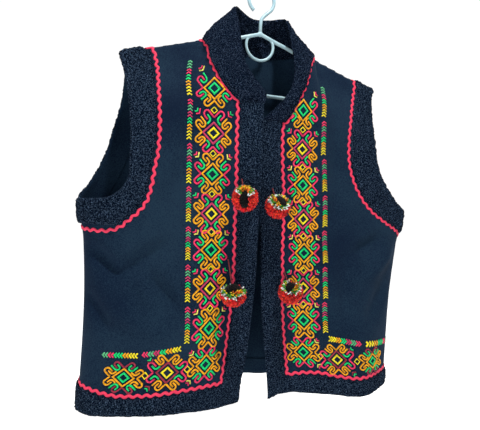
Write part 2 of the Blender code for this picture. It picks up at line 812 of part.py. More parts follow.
def collar_pairs(side, front, back):
    """The seam point, its way out and the free edge at each station of one half."""
    seam_front = neck_line(side)
    seam_back = back_neck_line(side)
    if side == RIGHT:
        seam_back = flipped(seam_back)
    base = neck_base(side) + SEAM_GAP
    pairs = []
    trim_top, out = front.spot(FRONT_TRIM, base)
    edge_top, _ = front.spot(0.0, base)
    lift = Vector((0, 0, SEAM_GAP))
    pairs.append((trim_top + lift, out, edge_top + lift))
    for x, fore, height, share, part in RIGHT_COLLAR if side == RIGHT else LEFT_COLLAR:
        piece, line = (front, seam_front) if part == FRONT else (back, seam_back)
        seam, out = piece.spot(*along(line, share))
        pairs.append((seam, out, Vector((side * x, -fore, NECK_POINT_Z + height))))
    return pairs


def make_collar(fronts, back, collection):
    """The standing collar, one strip from front edge to front edge."""
    right = collar_pairs(RIGHT, fronts[RIGHT], back)
    left = collar_pairs(LEFT, fronts[LEFT], back)
    seam, out = back.spot(0.0, NECK_POINT_Z + BACK_NECK_RISE)
    fore, height = COLLAR_BACK
    middle = (seam, out, Vector((0, -fore, NECK_POINT_Z + height)))
    stations = right + [middle] + list(reversed(left))
    # the seam and the free edge are refined together, so each keeps its partner
    rows = []
    count = len(stations)
    finer = [k / 2 for k in range(2 * count - 1)]

    def value(which, where):
        i = min(int(where), count - 2)
        t = where - i
        p0, p1 = stations[max(i - 1, 0)][which], stations[i][which]
        p2, p3 = stations[i + 1][which], stations[min(i + 2, count - 1)][which]
        if t == 0:
            return p1.copy()
        return 0.5 * (2 * p1 + (p2 - p0) * t + (2 * p0 - 5 * p1 + 4 * p2 - p3) * t * t
                      + (3 * p1 - p0 - 3 * p2 + p3) * t ** 3)

    for where in finer:
        seam, out, edge = value(0, where), value(1, where), value(2, where)
        end = min(where, count - 1 - where)
        reach = edge - seam
        flat = reach - out * reach.dot(out)
        turn = 1 - flat.length / max(reach.length, 1e-9)
        clear = 0.0008 + COLLAR_WALL * 0.9 * math.sqrt(max(0.0, min(1.0, turn * 2)))
        start = seam + reach.normalized() * clear
        row = []
        for k in range(COLLAR_ROWS + 1):
            t = k / COLLAR_ROWS
            bow = COLLAR_BELLY * 4 * t * (1 - t) ** 2 * min(1.0, end / 2)
            row.append(start + (edge - start) * t + out * bow)
        rows.append(row)
    width = COLLAR_ROWS + 1
    points = [p for row in rows for p in row]
    faces = []
    for i in range(len(rows) - 1):
        for k in range(COLLAR_ROWS):
            a, b = i * width + k, (i + 1) * width + k
            faces.append((a, b, b + 1, a + 1))
    outs = [Vector() for _ in points]
    for face in faces:
        a, b, c, d = (points[i] for i in face)
        normal = (c - a).cross(d - b)
        for i in face:
            outs[i] += normal
    outs = [n.normalized() for n in outs]
    middle_row = outs[(len(rows) // 2) * width + 1]
    if middle_row.y < 0:
        outs = [-n for n in outs]
        faces = [tuple(reversed(f)) for f in faces]
    mesh_bm = wall_of(points, outs, faces, 0.002 - COLLAR_WALL, 0.002)
    add_object("collar", mesh_bm, "pile", collection)


# ---- pompoms and their ties --------------------------------------------------

POMPOM = 0.041           # across the yarn
POMPOM_CORE = 0.0155      # radius at the roots of the locks
TIE = 0.0022             # thickness of a tie
# side, how far in from the front edge, drop to its middle, length of its tie
POMPOMS = [
    # side, across, drop, tie
    (RIGHT, 0.033, 0.260, 0.006, "upper_right"),
    (LEFT, 0.021, 0.271, 0.006, "upper_left"),
    (RIGHT, 0.050, 0.401, 0.024, "lower_right"),
    (LEFT, 0.043, 0.402, 0.006, "lower_left"),
]


def make_pompom(front, side, across, drop, tie, name, collection):
    """A pompom of yarn locks on a wound core, hung from a short tie."""
    z = NECK_POINT_Z - drop
    reach = POMPOM / 2
    point, out = front.spot(across, z)
    centre = point + out * (SEAM_GAP + PILE + reach + 0.0008)
    mesh_bm = bmesh.new()
    bmesh.ops.create_uvsphere(mesh_bm, u_segments=10, v_segments=6, radius=POMPOM_CORE)
    locks = list(mesh_bm.faces)
    bmesh.ops.inset_individual(mesh_bm, faces=locks, thickness=0.0012,
                               depth=reach - POMPOM_CORE, use_even_offset=True)
    for vert in mesh_bm.verts:
        if vert.co.length > reach * 0.9:
            vert.co = vert.co.normalized() * reach
    bmesh.ops.translate(mesh_bm, verts=mesh_bm.verts, vec=centre)
    add_object(f"pompom_{name}", mesh_bm, "yarn", collection)
    # the tie leaves the trim above the pompom and reaches its crown
    top, away = front.spot(across, z + reach + tie)
    start = top + away * (SEAM_GAP + PILE + TIE / 2 + SEAM_GAP)
    finish = centre + (start - centre).normalized() * (reach + 2 * SEAM_GAP)
    wire(f"tie_{name}", [start, finish], TIE / 2, 6, "pile", collection)


def wire(name, path, radius, sides, finish, collection, closed=False):
    """A round wire or cord along a path of points: a bevelled curve, made a mesh."""
    curve = bpy.data.curves.new(name, "CURVE")
    curve.dimensions = "3D"
    curve.bevel_depth = radius
    curve.bevel_resolution = sides // 2 - 2
    curve.use_fill_caps = True
    spline = curve.splines.new("POLY")
    spline.points.add(len(path) - 1)
    for point, place in zip(spline.points, path):
        point.co = (*place, 1.0)
    spline.use_cyclic_u = closed
    drawn = bpy.data.objects.new(name + "_curve", curve)
    collection.objects.link(drawn)
    graph = bpy.context.evaluated_depsgraph_get()
    mesh = bpy.data.meshes.new_from_object(drawn.evaluated_get(graph))
    bpy.data.objects.remove(drawn)
    mesh_bm = bmesh.new()
    mesh_bm.from_mesh(mesh)
    bpy.data.meshes.remove(mesh)
    bmesh.ops.remove_doubles(mesh_bm, verts=mesh_bm.verts, dist=0.00005)
    return add_object(name, mesh_bm, finish, collection)


# ---- the hanger --------------------------------------------------------------

WIRE = 0.0062            # thickness of the coated wire
APEX_Z = NECK_POINT_Z + 0.027
HANGER_HALF = 0.203      # half the length of the hanger
HANGER_SLOPE = 0.345     # fall of its shoulders for each unit outward
BAR_Z = NECK_POINT_Z - 0.077
HOOK_RADIUS = 0.020      # inside the hook, where the rod rests
RING_RADIUS = 0.0245     # the loop under the hook, to the middle of its wire
RING_WIRE = 0.0050


def make_hanger(collection):
    """The wire hanger: sloping shoulders, a lower bar, a loop and a plain hook."""
    end_z = APEX_Z - HANGER_SLOPE * HANGER_HALF - 0.008
    shoulders = []
    for side in (RIGHT, LEFT):
        shoulders.append([
            (0.0, APEX_Z), (side * 0.03, APEX_Z - HANGER_SLOPE * 0.03),
            (side * 0.08, APEX_Z - HANGER_SLOPE * 0.08),
            (side * (HANGER_HALF - 0.012), end_z + HANGER_SLOPE * 0.012),
            (side * HANGER_HALF, end_z - 0.006),
            (side * (HANGER_HALF - 0.001), end_z - 0.020),
            (side * (HANGER_HALF - 0.016), BAR_Z), (side * 0.10, BAR_Z), (0.0, BAR_Z),
        ])
    outline = shoulders[0] + list(reversed(shoulders[1]))[1:-1]
    middle_z = -HOOK_RADIUS
    bend = HOOK_RADIUS + WIRE / 2
    hook_path = [(0.0, APEX_Z - 0.0012), (0.0, -0.064), (0.003, -0.056), (0.014, -0.044)]
    for turn in range(-35, 236, 30):
        a = math.radians(turn)
        hook_path.append((bend * math.cos(a), middle_z + bend * math.sin(a)))
    ring_z = APEX_Z - RING_RADIUS + 0.004
    ring_path = []
    for k in range(12):
        a = math.radians(155 + 21 * k)
        ring_path.append((RING_RADIUS * math.cos(a), ring_z + RING_RADIUS * math.sin(a)))
    base = wire("hanger", [(x, 0, z) for x, z in outline], WIRE / 2, 8, "wire", collection, True)
    joined_wires = bpy.data.collections.new("joined_wires")
    bpy.context.scene.collection.children.link(joined_wires)
    for name, path, radius, sides in (("hook_wire", hook_path, WIRE * 0.48, 10),
                                      ("loop_wire", ring_path, RING_WIRE / 2, 8)):
        points = [(x, 0, z) for x, z in path]
        other = wire(name, points, radius, sides, "wire", joined_wires)
        join = base.modifiers.new("join", "BOOLEAN")
        join.operation, join.solver, join.object = "UNION", "EXACT", other
        graph = bpy.context.evaluated_depsgraph_get()
        joined = bpy.data.meshes.new_from_object(base.evaluated_get(graph))
        base.modifiers.remove(join)
        base.data = joined
        bpy.data.objects.remove(other)
    bpy.data.collections.remove(joined_wires)


def main():
    for old in list(bpy.data.objects):
        bpy.data.objects.remove(old)
    vest = bpy.data.collections.new("folk_vest")
    bpy.context.scene.collection.children.link(vest)
    fronts = {RIGHT: make_front(RIGHT, "right", vest), LEFT: make_front(LEFT, "left", vest)}
    back = make_back(vest)
    make_collar(fronts, back, vest)
    for side, across, drop, tie, name in POMPOMS:
        make_pompom(fronts[side], side, across, drop, tie, name, vest)
    make_hanger(vest)


main()
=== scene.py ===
"""An embroidered folk vest on its dipped wire hanger.

The vest is dark navy wool cloth.  Curled pile cloth trims its edges and makes
its standing collar, coral rickrack runs beside every trim, and hooked diamonds
are worked in satin stitch down the fronts and along their hems.  Four yarn
pompoms hang at the front edges.  +Z is up and the fronts face -Y.
"""
import math
import random

import bmesh
import bpy
import numpy as np
from mathutils import Matrix, Vector, noise


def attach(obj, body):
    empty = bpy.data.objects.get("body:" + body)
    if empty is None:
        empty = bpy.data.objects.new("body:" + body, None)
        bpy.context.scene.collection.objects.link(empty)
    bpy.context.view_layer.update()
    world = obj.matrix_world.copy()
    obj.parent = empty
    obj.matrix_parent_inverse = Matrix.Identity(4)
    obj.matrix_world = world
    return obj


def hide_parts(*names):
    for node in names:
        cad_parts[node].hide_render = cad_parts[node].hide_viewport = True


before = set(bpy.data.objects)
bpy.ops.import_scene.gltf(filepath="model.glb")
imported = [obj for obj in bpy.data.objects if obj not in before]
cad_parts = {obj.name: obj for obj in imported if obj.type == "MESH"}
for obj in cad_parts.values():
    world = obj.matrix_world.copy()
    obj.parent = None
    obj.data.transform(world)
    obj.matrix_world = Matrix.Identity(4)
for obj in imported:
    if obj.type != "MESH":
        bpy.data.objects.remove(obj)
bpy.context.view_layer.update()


# ---- camera, floor and lights ------------------------------------------------
# The vest is seen from a little to its right, at chest height, in a pale
# studio, with one soft light high in front and a weak one from its right.

scene = bpy.context.scene
CAMERA_PLACE = Vector((-0.242, -0.665, -0.388))
CAMERA_YAW, CAMERA_PITCH, CAMERA_ROLL = (math.radians(a) for a in (-18.2, 0.1, 2.3))
CAMERA_LENS = 30.9

backward = Vector((math.sin(CAMERA_YAW) * math.cos(CAMERA_PITCH),
                   -math.cos(CAMERA_YAW) * math.cos(CAMERA_PITCH), math.sin(CAMERA_PITCH)))
sideways = (-backward).cross(Vector((0, 0, 1))).normalized()
upward = sideways.cross(-backward)
rolled_side = sideways * math.cos(CAMERA_ROLL) + upward * math.sin(CAMERA_ROLL)
rolled_up = upward * math.cos(CAMERA_ROLL) - sideways * math.sin(CAMERA_ROLL)
camera = bpy.data.objects.new("camera", bpy.data.cameras.new("camera"))
camera.data.lens = CAMERA_LENS
camera.data.sensor_width = 36
camera.data.clip_start = 0.02
turned = Matrix((rolled_side, rolled_up, backward)).transposed().to_4x4()
camera.matrix_world = Matrix.Translation(CAMERA_PLACE) @ turned
scene.collection.objects.link(camera)
scene.camera = camera

FLOOR_Z, FLOOR_HALF = -0.86, 4
PALE, WHITE = (0.86, 0.86, 0.855), (1, 1, 1, 1)


def output_of(tree, kind, output, inputs, **settings):
    """Makes a shader node and gives one of its outputs.  An input is either a value
    or the output of another node."""
    made = tree.nodes.new("ShaderNode" + kind)
    for setting, value in settings.items():
        setattr(made, setting, value)
    for socket, value in inputs.items():
        if isinstance(value, bpy.types.NodeSocket):
            tree.links.new(value, made.inputs[socket])
        else:
            made.inputs[socket].default_value = value
    return made.outputs[output]


def material_named(name, colour, roughness, specular=0.5):
    made = bpy.data.materials.new(name)
    made.use_nodes = True
    shader = made.node_tree.nodes["Principled BSDF"]
    shader.inputs["Base Color"].default_value = (*colour, 1)
    shader.inputs["Roughness"].default_value = roughness
    shader.inputs["Specular IOR Level"].default_value = specular
    return made, made.node_tree, shader


floor_bm = bmesh.new()
bmesh.ops.create_grid(floor_bm, x_segments=1, y_segments=1, size=FLOOR_HALF,
                      matrix=Matrix.Translation((0, 0, FLOOR_Z)))
floor = bpy.data.objects.new("floor", bpy.data.meshes.new("floor"))
floor_bm.to_mesh(floor.data)
floor_bm.free()
scene.collection.objects.link(floor)
paint, _, shader = material_named("floor", PALE, 0.95, 0.1)
shader.inputs["Emission Color"].default_value = WHITE
shader.inputs["Emission Strength"].default_value = 0.60
floor.data.materials.append(paint)

# a white wall behind the vest, and a dimmer room in front of it
world = bpy.data.worlds.new("studio")
scene.world = world
world.use_nodes = True
room = world.node_tree
heading = output_of(room, "TexCoord", "Generated", {})
forward = output_of(room, "SeparateXYZ", "Y", {"Vector": heading})
wall = output_of(room, "MapRange", "Result", {"Value": forward, "From Min": -0.15, "From Max": 0.40,
                                              "To Min": 0.18, "To Max": 1.04})
room.links.new(wall, room.nodes["Background"].inputs["Strength"])
room.nodes["Background"].inputs["Color"].default_value = WHITE
scene.view_settings.view_transform = "Standard"


def soft_light(name, place, aim, size, power):
    lamp = bpy.data.lights.new(name, "AREA")
    lamp.size = size
    lamp.energy = power
    made = bpy.data.objects.new(name, lamp)
    way = (Vector(aim) - Vector(place)).normalized()
    made.matrix_world = Matrix.Translation(place) @ way.to_track_quat("-Z", "Y").to_matrix().to_4x4()
    scene.collection.objects.link(made)


MID_VEST = (0, 0, -0.40)
soft_light("key", (0.06, -0.80, 1.40), MID_VEST, 0.12, 43)
soft_light("fill", (-1.2, -1.4, -0.45), MID_VEST, 1.0, 12)


# ---- the hanger ----------------------------------------------------------------
# A 6 mm steel wire bent to shoulders, a bar and a hook, with a thinner loop
# under the hook, all dipped in pale blue plastic that thickens at the joints.

NECK_Z = -0.105          # the neck point of the vest, where its shoulder seams end
WIRE = 0.0062
APEX_Z = NECK_Z + 0.027
HANGER_HALF, HANGER_SLOPE = 0.203, 0.345
BAR_Z = NECK_Z - 0.077
HOOK_RADIUS = 0.020
LOOP_RADIUS, LOOP_WIRE = 0.0245, 0.0050
PLASTIC_BLUE = (0.36, 0.53, 0.58)


def tinted(tree, shader, value, low, low_colour, high, high_colour):
    """Colours a surface by a value, from one colour to another."""
    tint = output_of(tree, "ValToRGB", "Color", {"Fac": value})
    for stop, place, colour in zip(tint.node.color_ramp.elements, (low, high), (low_colour, high_colour)):
        stop.position = place
        stop.color = (*colour, 1)
    tree.links.new(tint, shader.inputs["Base Color"])


def raised(tree, shader, value, strength, distance):
    """Gives a surface bumps where a value is high."""
    bump = output_of(tree, "Bump", "Normal", {"Height": value, "Strength": strength, "Distance": distance})
    tree.links.new(bump, shader.inputs["Normal"])


def curve_between(a, b, c, d, t):
    """A point of the smooth curve from b to c, with a before them and d after."""
    return 0.5 * (2 * b + (c - a) * t + (2 * a - 5 * b + 4 * c - d) * t * t
                  + (3 * b - a - 3 * c + d) * t ** 3)


def rounded_path(points, spacing):
    """Points about one spacing apart on a smooth line through a few points."""
    made, last = [], len(points) - 1
    for i in range(last):
        p0, p1 = points[max(i - 1, 0)], points[i]
        p2, p3 = points[i + 1], points[min(i + 2, last)]
        steps = max(1, round(math.dist(p1, p2) / spacing))
        for k in range(steps):
            made.append(tuple(curve_between(*row, k / steps) for row in zip(p0, p1, p2, p3)))
    made.append(tuple(points[last]))
    return made


def wire_mesh(name, runs, finish):
    """Round wires along paths, as one mesh: (points, radius, closed) a run."""
    curve = bpy.data.curves.new(name, "CURVE")
    curve.dimensions = "3D"
    curve.bevel_depth = 1.0
    curve.bevel_resolution = 4
    curve.use_fill_caps = True
    for points, radius, closed in runs:
        spline = curve.splines.new("POLY")
        spline.points.add(len(points) - 1)
        for spot, place in zip(spline.points, points):
            spot.co = (*place, 1.0)
            spot.radius = radius
        spline.use_cyclic_u = closed
    drawn = bpy.data.objects.new(name + "_line", curve)
    scene.collection.objects.link(drawn)
    graph = bpy.context.evaluated_depsgraph_get()
    mesh = bpy.data.meshes.new_from_object(drawn.evaluated_get(graph))
    bpy.data.objects.remove(drawn)
    wire_bm = bmesh.new()
    wire_bm.from_mesh(mesh)
    bmesh.ops.remove_doubles(wire_bm, verts=wire_bm.verts, dist=0.00002)
    wire_bm.to_mesh(mesh)
    wire_bm.free()
    mesh.name = name
    mesh.materials.clear()
    mesh.materials.append(finish)
    made = bpy.data.objects.new(name, mesh)
    scene.collection.objects.link(made)
    mesh.shade_smooth()
    return made


plastic, tree, shader = material_named("dipped_plastic", PLASTIC_BLUE, 0.36)
shader.inputs["Coat Weight"].default_value = 0.25
place = output_of(tree, "TexCoord", "Object", {})
mottle = output_of(tree, "TexNoise", "Fac", {"Vector": place, "Scale": 60, "Detail": 3})
tinted(tree, shader, mottle, 0.35, (0.31, 0.47, 0.53), 0.7, (0.41, 0.58, 0.63))
raised(tree, shader, mottle, 0.25, 0.0006)

end_z = APEX_Z - HANGER_SLOPE * HANGER_HALF - 0.008
half_frame = [(0.03, APEX_Z - HANGER_SLOPE * 0.03), (0.08, APEX_Z - HANGER_SLOPE * 0.08),
              (HANGER_HALF - 0.012, end_z + HANGER_SLOPE * 0.012), (HANGER_HALF, end_z - 0.006),
              (HANGER_HALF - 0.001, end_z - 0.020), (HANGER_HALF - 0.016, BAR_Z)]
right_run, left_run = (rounded_path([(side * x, 0.0, z) for x, z in half_frame], 0.004) for side in (-1, 1))
outline = [(0.0, 0.0, APEX_Z)] + left_run + right_run[::-1]
bend = HOOK_RADIUS + WIRE / 2
hook = [(0.0, 0.0, -0.060), (0.0015, 0.0, -0.0520), (0.009, 0.0, -0.0430)]
for turn in range(-40, 237, 12):
    a = math.radians(turn)
    hook.append((bend * math.cos(a), 0.0, bend * math.sin(a) - HOOK_RADIUS))
hook = [(0.0, 0.0, APEX_Z)] + rounded_path(hook, 0.003)
loop = []
for step in range(34):
    a = math.radians(155 + 231 * step / 33)
    loop.append((LOOP_RADIUS * math.cos(a), 0.0,
                 APEX_Z - LOOP_RADIUS + 0.004 + LOOP_RADIUS * math.sin(a)))
hanger = wire_mesh("hanger_wire", [(outline, WIRE / 2, True), (hook, WIRE * 0.48, False),
                                   (loop, LOOP_WIRE / 2, False)], plastic)
joint_bm = bmesh.new()
joint_bm.from_mesh(hanger.data)
# the dip gathers in the fork under the hook, and where the loop meets the wire
for x, drop, size in ((0.0, 0.0005, 0.0044), (-0.0225, 0.0085, 0.0037), (0.0225, 0.0085, 0.0037)):
    blob = Matrix.Translation((x, 0, APEX_Z - drop)) @ Matrix.Diagonal((1.3, 0.8, 1, 1))
    bmesh.ops.create_uvsphere(joint_bm, u_segments=16, v_segments=10, radius=size, matrix=blob)
joint_bm.to_mesh(hanger.data)
joint_bm.free()
hanger.data.shade_smooth()
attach(hanger, "root")
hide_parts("hanger")


# ---- the back --------------------------------------------------------------------
# One piece of navy wool cloth, cut flat and then hung: the pattern's x is the
# distance across the cloth from the centre line, y is the height, and z is how
# far a point stands out of the cloth.  Its edges lie under the pile trims.

RIGHT, LEFT = -1, 1      # the wearer's sides, as the sign of X
FRONT, BACK = -1, 1
CLOTH = 0.002
NECK_HALF, SHOULDER_HALF, SHOULDER_DROP = 0.100, 0.228, 0.041
UNDERARM_DROP, VEST_DROP, BACK_NECK_RISE = 0.268, 0.577, 0.005
SHOULDER_Z, UNDERARM_Z, HEM_Z = (NECK_Z - d for d in (SHOULDER_DROP, UNDERARM_DROP, VEST_DROP))
SHOULDER_SLOPE = SHOULDER_DROP / (SHOULDER_HALF - NECK_HALF)
RIDGE, OPEN_OUT, CORNER_POWER = 0.011, 0.125, 3.0
HEM_TWIST = math.radians(-3.5)
SEAM_BLEND = 0.016
WIDENING = 0.10          # how far below the shoulder the vest reaches its full width
NET_MARGIN = 0.014       # how far the form runs past the hem and the neck point

LEVELS = [
    # drop, right, left,  front, back, proud, right_gap, left_gap
    (0.000, 0.100, 0.100, 0.056, 0.052, 0.000, 0.013, -0.009),
    (0.041, 0.228, 0.228, 0.058, 0.052, 0.006, 0.013, -0.009),
    (0.150, 0.238, 0.240, 0.060, 0.058, 0.010, 0.013, -0.009),
    (0.262, 0.278, 0.291, 0.061, 0.064, 0.010, 0.012, -0.008),
    (0.330, 0.271, 0.279, 0.061, 0.066, 0.010, 0.012, -0.007),
    (0.430, 0.267, 0.265, 0.060, 0.068, 0.010, 0.015, 0.003),
    (0.577, 0.270, 0.258, 0.060, 0.060, 0.012, 0.029, 0.026),
]
DROP, RIGHT_HALF, LEFT_HALF, FRONT_DEPTH, BACK_DEPTH, PROUD, RIGHT_GAP, LEFT_GAP = range(8)
FOLDS = [
    # side, face, across, half,  out,   top,   lean
    (RIGHT, FRONT, 0.010, 0.045, -0.034, 0.40, 0.10),
    (RIGHT, FRONT, 0.150, 0.055, 0.014, 0.36, -0.10),
    (LEFT, FRONT, 0.055, 0.040, -0.016, 0.34, 0.05),
    (LEFT, FRONT, 0.190, 0.045, 0.022, 0.36, 0.10),
    (RIGHT, BACK, 0.060, 0.050, 0.012, 0.40, 0.08),
    (RIGHT, BACK, 0.175, 0.045, -0.012, 0.36, 0.04),
    (LEFT, BACK, 0.035, 0.040, -0.010, 0.34, 0.02),
    (LEFT, BACK, 0.140, 0.050, 0.013, 0.40, 0.06),
]
# soft creases between two ends; heights are over the hem, and a trough's out is minus
CREASES = [
    # side, face,  across, height, across, height, half, out
    (RIGHT, FRONT, 0.255, 0.236, 0.214, 0.198, 0.012, -0.0120),
    (RIGHT, FRONT, 0.214, 0.198, 0.144, 0.248, 0.012, -0.0105),
    (RIGHT, FRONT, 0.171, 0.205, 0.125, 0.144, 0.012, -0.0105),
    (RIGHT, FRONT, 0.265, 0.169, 0.228, 0.118, 0.010, -0.0070),
    (RIGHT, FRONT, 0.195, 0.190, 0.178, 0.130, 0.011, -0.0050),
    (RIGHT, FRONT, 0.225, 0.150, 0.150, 0.115, 0.018, 0.0060),
    (RIGHT, FRONT, 0.135, 0.460, 0.148, 0.330, 0.016, 0.0070),
    (LEFT, FRONT, 0.140, 0.474, 0.138, 0.300, 0.010, -0.0055),
    (LEFT, FRONT, 0.255, 0.245, 0.190, 0.190, 0.014, 0.0110),
    (LEFT, FRONT, 0.230, 0.262, 0.170, 0.232, 0.012, -0.0100),
    (LEFT, FRONT, 0.240, 0.180, 0.185, 0.110, 0.016, -0.0095),
    (LEFT, FRONT, 0.150, 0.230, 0.150, 0.120, 0.012, -0.0050),
    (RIGHT, BACK, 0.180, 0.420, 0.205, 0.290, 0.012, -0.0078),
    (RIGHT, BACK, 0.150, 0.440, 0.175, 0.300, 0.012, 0.0062),
    (RIGHT, BACK, 0.260, 0.240, 0.180, 0.200, 0.014, -0.0070),
    (RIGHT, BACK, 0.120, 0.330, 0.080, 0.180, 0.018, -0.0062),
    (RIGHT, BACK, 0.060, 0.480, 0.020, 0.400, 0.016, -0.0054),
    (LEFT, BACK, 0.175, 0.430, 0.200, 0.300, 0.012, -0.0078),
    (LEFT, BACK, 0.255, 0.235, 0.170, 0.180, 0.014, -0.0070),
    (LEFT, BACK, 0.240, 0.200, 0.160, 0.150, 0.012, 0.0054),
    (LEFT, BACK, 0.100, 0.360, 0.120, 0.210, 0.018, 0.0062),
    (LEFT, BACK, 0.055, 0.250, 0.090, 0.110, 0.016, -0.0054),
    (LEFT, FRONT, 0.205, 0.120, 0.165, 0.105, 0.018, 0.0039),
]


def smooth(t):
    t = np.clip(t, 0.0, 1.0)
    return t * t * (3 - 2 * t)


def level(column, z):
    """One column of LEVELS at heights z, along a smooth curve."""
    rows = np.array(LEVELS)
    drops, values = rows[:, DROP], rows[:, column]
    drop = np.clip(NECK_Z - z, drops[0], drops[-1])
    low = np.clip(np.searchsorted(drops, drop, side="left") - 1, 0, len(rows) - 2)
    before, high, after = np.maximum(low - 1, 0), low + 1, np.minimum(low + 2, len(rows) - 1)
    span = drops[high] - drops[low]
    t = (drop - drops[low]) / span
    slope_low = (values[high] - values[before]) / (drops[high] - drops[before])
    slope_high = (values[after] - values[low]) / (drops[after] - drops[low])
    return ((2 * t ** 3 - 3 * t ** 2 + 1) * values[low] + (t ** 3 - 2 * t ** 2 + t) * span * slope_low
            + (3 * t ** 2 - 2 * t ** 3) * values[high] + (t ** 3 - t ** 2) * span * slope_high)


def half_width(side, z):
    flank = level(RIGHT_HALF if side == RIGHT else LEFT_HALF, z)
    wider = np.maximum(flank, SHOULDER_HALF) - SHOULDER_HALF
    below = SHOULDER_HALF + wider * smooth((SHOULDER_Z - z) / WIDENING)
    return np.where(z >= SHOULDER_Z, NECK_HALF + (NECK_Z - z) / SHOULDER_SLOPE, below)


# where each free edge swings out past, or short of, the levels: height over the
# hem and how far it moves towards the other front
EDGE_SWAY = {
    RIGHT: [(0.0, 0.004), (0.03, 0.0050), (0.055, 0.0080), (0.08, 0.0088), (0.113, 0.0075),
            (0.154, 0.0055), (0.195, 0.0042), (0.235, 0.0020), (0.275, 0.0)],
    LEFT: [(0.0, -0.0008), (0.05, -0.0020), (0.113, -0.0018), (0.154, -0.0024),
           (0.200, -0.0050), (0.275, -0.0045), (0.36, 0.0)],
}


def edge_sway(side, height):
    """How far a free edge moves towards the other front at a height over the hem."""
    rows = EDGE_SWAY[side]
    return np.interp(height, [h for h, _ in rows], [sway for _, sway in rows])


LEVEL_STEP = 0.002
heights = np.arange(HEM_Z - NET_MARGIN, NECK_Z + NET_MARGIN, LEVEL_STEP)
turns = np.linspace(0, math.pi / 2, 73)


def hanging_form(side, face):
    """The hanging cloth as a net of points, with the distance across at each."""
    z = heights[:, None]
    half = half_width(side, z)
    if face == FRONT:
        edge = level(RIGHT_GAP if side == RIGHT else LEFT_GAP, z) - edge_sway(side, z - HEM_Z)
        depth = level(FRONT_DEPTH, z) - side * level(PROUD, z)
    else:
        edge, depth = 0.0 * z, level(BACK_DEPTH, z)
    reach = np.sin(turns) ** (2 / CORNER_POWER)
    body = np.maximum(0.0, np.cos(turns)) ** (2 / CORNER_POWER)
    x = edge + (half - edge) * reach
    below = NECK_Z - SHOULDER_SLOPE * (x - NECK_HALF) - z
    neck = np.sqrt(np.maximum(0.0, 1 - (x / NECK_HALF) ** 2))
    filled = 1 - (1 - smooth(below / OPEN_OUT)) * (1 - neck)
    out = 0.0 * x
    up = z - HEM_Z
    for fold_side, fold_face, centre, width, stands, top, lean in FOLDS:
        if (fold_side, fold_face) == (side, face):
            away = (x - centre - lean * up) / width
            swell = stands * np.exp(-away * away) * smooth(1 - up / top) * (np.abs(away) < 2.5)
            out += swell * (smooth(x / 0.045) if face == BACK else 1)
    y = (RIDGE + (depth - RIDGE) * filled + out) * body
    x, y = side * x, face * y
    twist = HEM_TWIST * smooth((SHOULDER_Z - z) / (SHOULDER_Z - HEM_Z))
    x, y = x * np.cos(twist) - y * np.sin(twist), x * np.sin(twist) + y * np.cos(twist)
    steps = np.hypot(np.diff(x, axis=1), np.diff(y, axis=1))
    across = np.concatenate([np.zeros((len(heights), 1)), np.cumsum(steps, axis=1)], axis=1)
    points = np.stack([x, y, np.broadcast_to(z, x.shape)], axis=2)
    along, rise = np.gradient(points, axis=1), np.gradient(points, axis=0)
    ways = np.cross(along, rise) * (-side * face)
    ways /= np.linalg.norm(ways, axis=2, keepdims=True)
    return points, across, ways


forms = {(side, face): hanging_form(side, face) for side in (RIGHT, LEFT) for face in (FRONT, BACK)}
for side in (RIGHT, LEFT):
    seam = forms[side, FRONT][2][:, -1] + forms[side, BACK][2][:, -1]
    seam /= np.linalg.norm(seam, axis=1, keepdims=True)
    for face in (FRONT, BACK):
        points, across, ways = forms[side, face]
        near = smooth(1 - (across[:, -1:] - across) / SEAM_BLEND)[:, :, None]
        ways[:] = ways * (1 - near) + seam[:, None] * near
        if face == BACK:
            ways[:, 0, 0] = 0
        ways /= np.linalg.norm(ways, axis=2, keepdims=True)


def hang(side, face, across, z, out=0.0):
    """Hangs pattern points: their places, out of the cloth by out, and the way out."""
    points, spans, ways = forms[side, face]
    across, z = np.atleast_1d(across).astype(float), np.atleast_1d(z).astype(float)
    place = (z - heights[0]) / LEVEL_STEP
    i = np.clip(place.astype(int), 0, len(heights) - 2)
    t = (place - i)[:, None]
    rows = spans[i] * (1 - t) + spans[i + 1] * t
    inner = np.clip(across, 0, rows[:, -1])
    k = np.clip((rows <= inner[:, None]).sum(axis=1) - 1, 0, rows.shape[1] - 2)
    pick = np.arange(len(k))
    s = ((inner - rows[pick, k]) / (rows[pick, k + 1] - rows[pick, k]))[:, None]

    def blend(net):
        low = net[i, k] * (1 - s) + net[i, k + 1] * s
        high = net[i + 1, k] * (1 - s) + net[i + 1, k + 1] * s
        return low * (1 - t) + high * t

    spots, outs = blend(points), blend(ways)
    outs /= np.linalg.norm(outs, axis=1, keepdims=True)
    lift = np.zeros(len(across)) + out
    for crease_side, crease_face, a0, h0, a1, h1, half, stands in CREASES:
        if (crease_side, crease_face) != (side, face):
            continue
        run, rise = a1 - a0, h1 - h0
        length = math.hypot(run, rise)
        da, dh = across - a0, z - HEM_Z - h0
        share = (da * run + dh * rise) / length ** 2
        off = np.abs(da * rise - dh * run) / length
        ends = smooth((share + 0.25) / 0.6) * smooth((1.25 - share) / 0.6)
        lift += stands * np.exp(-(off / half) ** 2) * ends * (smooth(across / 0.03) if face == BACK else 1)
    return spots + outs * lift[:, None], outs


def seam_across(side, face, z):
    """Where the side or shoulder seam lies across the pattern."""
    return float(np.interp(z, heights, forms[side, face][1][:, -1]))


def seam_point(side, face, z):
    return seam_across(side, face, z), z


SEAM_CLEAR, CORNER_CLEAR = 0.003, 0.002      # points nearer than this to an end are left out


def short_of_seam(side, face, line, gap=SEAM_CLEAR):
    """The points of a line that stop short of the side or shoulder seam."""
    return [p for p in line if p[0] < seam_across(side, face, p[1]) - gap]


def crossing(line, value, axis=0):
    """Where a flat line crosses a distance across (axis 0) or a height (axis 1)."""
    return float(np.interp(value, [p[axis] for p in line], [p[1 - axis] for p in line]))


